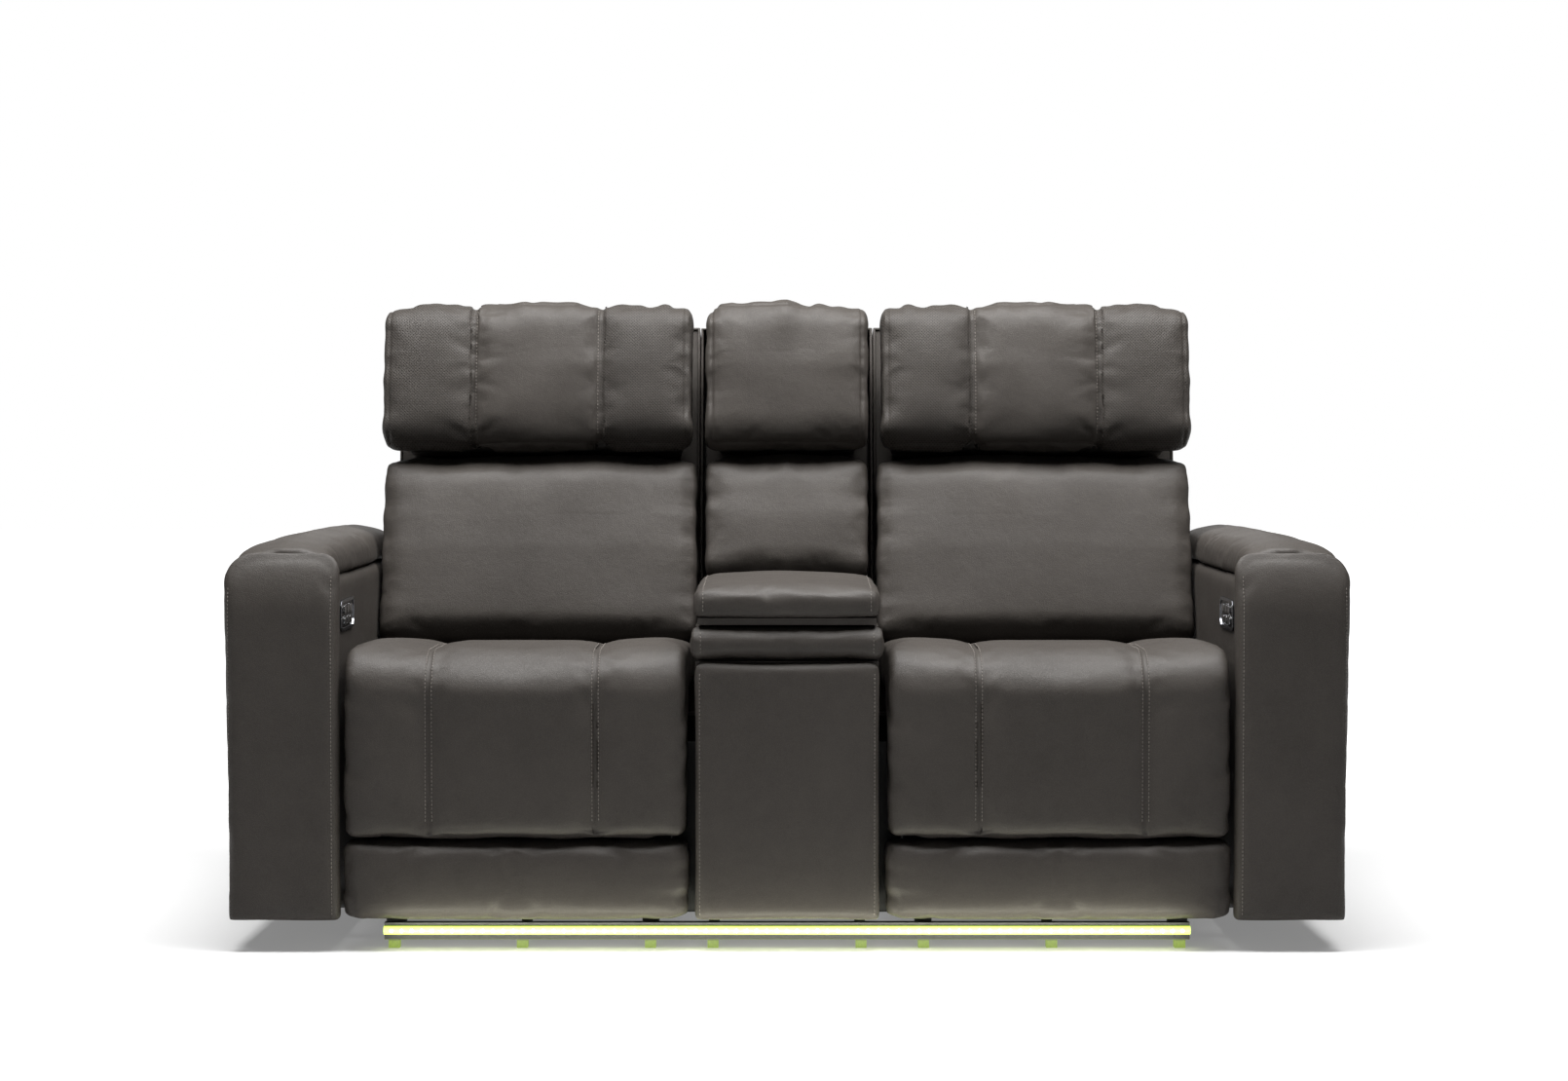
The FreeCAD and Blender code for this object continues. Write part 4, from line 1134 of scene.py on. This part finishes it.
def fine_block(name, low, high, rounding, cuts=9):
    obj = block(name, low, high, rounding, 2)
    edit(obj)
    bpy.ops.mesh.subdivide(number_cuts=cuts)
    edited()
    return obj


def jacket(name, x0, x1, rear_low, side_low):
    outer, inner = x1 + PANEL_THICK, x0 - PANEL_THICK
    high = BACK_TOP_W + PANEL_THICK
    walls = [
        fine_block("rear", (inner, REAR_U, rear_low), (outer, REAR_U + PANEL_THICK, high), 0.002),
        fine_block("near", (inner, FRONT_U, side_low), (x0 - 0.0004, REAR_U + 0.004, high), 0.002),
        fine_block("far", (x1 + 0.0004, FRONT_U, side_low), (outer, REAR_U + 0.004, high), 0.002),
        fine_block("top", (inner, FRONT_U, BACK_TOP_W + 0.0004), (outer, REAR_U + 0.004, high), 0.002),
    ]
    obj = lean_piece(joined(name, walls))
    creases(obj, 0.16, 0.0016, 51, lambda co, no: np.where(np.abs(no[:, 0]) > 0.5, 0.35, 1.0))
    return smooth_shade(obj, 40)


def gusset(name, x0, x1):
    obj = block(name, (x0, -0.044, GUSSET_FOOT), (x1, FRONT_U + 0.004, GUSSET_TOP), 0.010)
    remesh(lean_piece(obj), 0.0075)
    for edge in (lambda co: up_back(co) - GUSSET_TOP, across(0, x0), across(0, x1)):
        gather(obj, edge, lambda co: leaned(co)[:, 1] * 2 + co[:, 0] * 0.2, 0.022, 0.0045, 0.030, 57)
    return smooth_shade(obj)


TRAY_LOW, TRAY_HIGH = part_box("right_back_frame")
right_jacket = jacket("right_back_jacket", TRAY_LOW.x, TRAY_HIGH.x, -0.122, 0.032)
mirrored(right_jacket, "left_back_jacket")
jacket("centre_back_jacket", -CENTRE_HALF, CENTRE_HALF, -0.190, -0.10)
right_gusset = gusset("right_headrest_gusset", PILLOW_LOW.x + 0.022, PILLOW_HIGH.x - 0.034)
mirrored(right_gusset, "left_headrest_gusset")
gusset("centre_headrest_gusset", -0.128, 0.128)
print("jackets and gussets ready")

# %% [markdown]
# ## The dust cloth at the rear, also a painted shade sheet
#
# Upholstered frames are closed at the rear and underneath with a black cloth. Here it hangs behind the seats,
# under the backs, and beside the console, and it is also a painted shade: black sheets that make the gaps
# dark where they are only in shade.

# %% Dust cloth and painted shade sheets
CLOTH_Y = 0.358
FLAP_Y = -0.372


def dust_and_shade_cloth():
    # Both sheets are dust cloth and painted shade: near-black where the gaps behind and beside the seat are
    # only in shade.
    rear = fine_block("rear", (0.157, CLOTH_Y, 0.055), (0.738, CLOTH_Y + 0.003, 0.325), 0.001, 7)
    flap = fine_block("flap", (0.1512, FLAP_Y, 0.052), (0.188, FLAP_Y + 0.003, 0.336), 0.001, 7)
    obj = joined("right_dust_and_shade_cloth", [rear, flap])
    return smooth_shade(creases(obj, 0.09, 0.0012, 61), 40)


mirrored(dust_and_shade_cloth(), "left_dust_and_shade_cloth")

# %% [markdown]
# ## Topstitching
#
# The seams of the seat and of the headrest are topstitched on both sides or on one, and the arm bands, the
# console's front, its roll and its lid carry one row just inside each edge. Each row is dropped onto the
# finished skin, so it follows every fold.

# %% Topstitching
THREAD_SHIFT = 0.0054
REARWARD = Vector((0, 1, 0))
CONSOLE_FACE = -0.4606
THREAD_FOOT = 0.060


def seat_guides(x):
    radius = 0.085
    path = [Vector((x, SEAT_HIGH.y - 0.10, 0.50)), Vector((x, ROLL.y, ROLL.z + radius))]
    for k in range(1, 10):
        turn = math.radians(10 * k)
        path.append(Vector((x, ROLL.y - radius * math.sin(turn), ROLL.z + radius * math.cos(turn))))
    return path + [Vector((x, ROLL.y - radius, 0.212))]


def seat_aim(point):
    if point.y > ROLL.y:
        return Vector((0, 0, -1))
    if point.z < ROLL.z:
        return REARWARD
    return (Vector((point.x, ROLL.y, ROLL.z)) - point).normalized()


def rows_on(name, piece, lines, aim):
    skin = skin_of(piece)
    return joined(name, [stitch_row(name, skin, line, aim) for line in lines])


def upright_line(x, y, z0, z1):
    return [Vector((x, y, z0)), Vector((x, y, z1))]


def lid_aim(point):
    if point.z < 0.588:
        return REARWARD
    return Vector((0, 0, -1)) if point.y > -0.43 else Vector((0, 0.7, -0.7)).normalized()


seat_lines = [seat_guides(SEAM_MID_X + sign * SEAT_SEAM + shift)
              for sign in (-1, 1) for shift in (-THREAD_SHIFT, THREAD_SHIFT)]
right_seat_thread = rows_on("right_seat_thread", right_seat, seat_lines, seat_aim)
mirrored(right_seat_thread, "left_seat_thread")
band_lines = [upright_line(BAND_LOW.x + 0.013, BAND_LOW.y, THREAD_FOOT, 0.618),
              upright_line(BAND_HIGH.x - 0.010, BAND_LOW.y, THREAD_FOOT, 0.598)]
right_band_thread = rows_on("right_band_thread", right_band, band_lines, lambda point: REARWARD)
mirrored(right_band_thread, "left_band_thread")
front_lines = [upright_line(x, CONSOLE_FACE, THREAD_FOOT, 0.458) for x in (-0.1425, 0.1425)]
rows_on("console_front_thread", console_front_piece, front_lines, lambda point: REARWARD)
roll_lines = [upright_line(x, CONSOLE_FACE, 0.488, 0.524) for x in (-0.141, 0.141)]
rows_on("console_roll_thread", console_roll_piece, roll_lines, lambda point: REARWARD)
lid_lines = [[Vector((x, CONSOLE_FACE, 0.556)), Vector((x, CONSOLE_FACE, 0.586)), Vector((x, -0.435, 0.602)),
              Vector((x, 0.000, 0.602))] for x in (-0.137, 0.137)]
rows_on("console_lid_thread", lid_piece, lid_lines, lid_aim)
pillow_lines = [[lean_place(PILLOW_MID + sign * (PILLOW_SEAM - THREAD_SHIFT), -0.150, w)
                 for w in (0.530, 0.762)] for sign in (-1, 1)]
right_pillow_thread = rows_on("right_headrest_thread", right_pillow, pillow_lines, lambda point: OUT_BACK)
mirrored(right_pillow_thread, "left_headrest_thread")

# %% [markdown]
# ## The lamps in the strip
#
# Sixty small lamps to the metre shine through the tube as white dots. One drop of light is modelled and
# repeated along the strip.

# %% Lamps
LAMP_PITCH = 1 / 60
LAMP_REACH = 0.650


def lamp_row():
    low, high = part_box("led_strip")
    bpy.ops.mesh.primitive_uv_sphere_add(segments=8, ring_count=5, radius=0.0026,
                                         location=(-LAMP_REACH, low.y + 0.0004, (low.z + high.z) / 2))
    obj = only(bpy.context.object)
    bpy.ops.object.transform_apply(location=True, rotation=True, scale=True)
    assign(obj.modifiers.new("row", "ARRAY"), use_relative_offset=False, use_constant_offset=True,
           constant_offset_displace=(LAMP_PITCH, 0, 0), count=int(2 * LAMP_REACH / LAMP_PITCH) + 1)
    apply_all(obj)
    return named(smooth_shade(obj), "led_lamps")


lamps = lamp_row()
print("lamps", len(lamps.data.polygons) // 40)

# %% [markdown]
# ## Everything in its place
#
# Each piece now gets its leather and stands for the plain solid it replaces; most ride on the body that
# carries them, while the seat covers, their threads and the side gussets stay fixed in place.

# %% Rides
def settle(name, body, *cad, material=None, fill=0.6, slot="leather"):
    obj = bpy.data.objects[name]
    if material is not None:
        dress(obj, material)
    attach(obj, body)
    if cad:
        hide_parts(*cad)


for side, sign in SIDES:
    for part, finish_of_part in (("_seat_cover", LEATHER), ("_seat_thread", THREAD)):
        skin = bpy.data.objects[side + part]
        dress(skin, finish_of_part)
        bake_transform(skin)
    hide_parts(side + "_seat_cushion")
    settle(side + "_toe_pad", side + "_legrest", side + "_legrest_pads", material=LEATHER)
    settle(side + "_back_pillow", side + "_back", side + "_back_cushion", material=LEATHER)
    settle(side + "_headrest", side + "_headrest", side + "_headrest_pillow", fill=0.8)
    for part, solid in (("_arm_band", "_arm_front_band"), ("_arm_top", "_arm_pad"),
                        ("_arm_body", "_arm_frame")):
        settle(side + part, "base", side + solid, material=LEATHER)
    settle(side + "_band_thread", "base", material=THREAD, fill=0)
    settle(side + "_headrest_thread", side + "_headrest", material=THREAD, fill=0)
    settle(side + "_back_jacket", side + "_back", material=LEATHER, fill=0)
    # The dust cloth is near-black cloth that also paints the shade in the gaps.
    settle(side + "_dust_and_shade_cloth", "base", material=DUST_AND_SHADE_LINING, fill=0, slot="black_plastic")
    fold = bpy.data.objects[side + "_headrest_gusset"]
    dress(fold, LEATHER)
    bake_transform(fold)
settle("centre_back_pillow", "base", "console_back_cushion", material=LEATHER)
settle("centre_back_jacket", "base", material=LEATHER, fill=0)
settle("centre_headrest_gusset", "base", material=LEATHER, fill=0.3)
settle("console_front_thread", "base", material=THREAD, fill=0)
settle("console_roll_thread", "base", material=THREAD, fill=0)
settle("console_lid_thread", "console_lid", material=THREAD, fill=0)
settle("led_lamps", "base", material=LAMP_GLOW, fill=0, slot="light_tube")
settle("centre_headrest", "base", "console_headrest", material=LEATHER, fill=0.8)
settle("console_front_leather", "base", "console_front_panel", material=LEATHER)
settle("console_roll_leather", "base", "console_upper_roll", material=LEATHER)
settle("console_lid_leather", "console_lid", "console_lid_pad", material=LEATHER, fill=0.8)

# %% Finishes of the frame's own pieces
# The strip carrier's finish carries a painted glow on its feet.
CAD_FINISH = {
    "base_frame": BLACK_STEEL, "base_glides": BLACK_PLASTIC, "led_carrier": CARRIER,
    "led_strip": TUBE_GLOW, "power_supply": BLACK_PLASTIC, "console_frame": LEATHER,
    "console_lid_board": LEATHER,
}
SIDE_FINISH = {
    "seat_frame": BLACK_STEEL, "legrest_motor": MOTOR_PLASTIC, "legrest_rod": ZINC,
    "legrest_frame": BLACK_STEEL, "back_motor": MOTOR_PLASTIC, "back_rod": ZINC, "back_frame": LEATHER,
    "headrest_motor": MOTOR_PLASTIC, "headrest_rod": ZINC, "headrest_frame": BLACK_STEEL,
    "switch_housing": SWITCH_PANEL,
}
for side, _ in SIDES:
    for name, material in SIDE_FINISH.items():
        CAD_FINISH[side + "_" + name] = material
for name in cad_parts:
    if "_key_" in name:
        CAD_FINISH[name] = KEY_CHROME
for name, material in CAD_FINISH.items():
    dress(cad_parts[name], material)
print("finished nodes", len(CAD_FINISH))
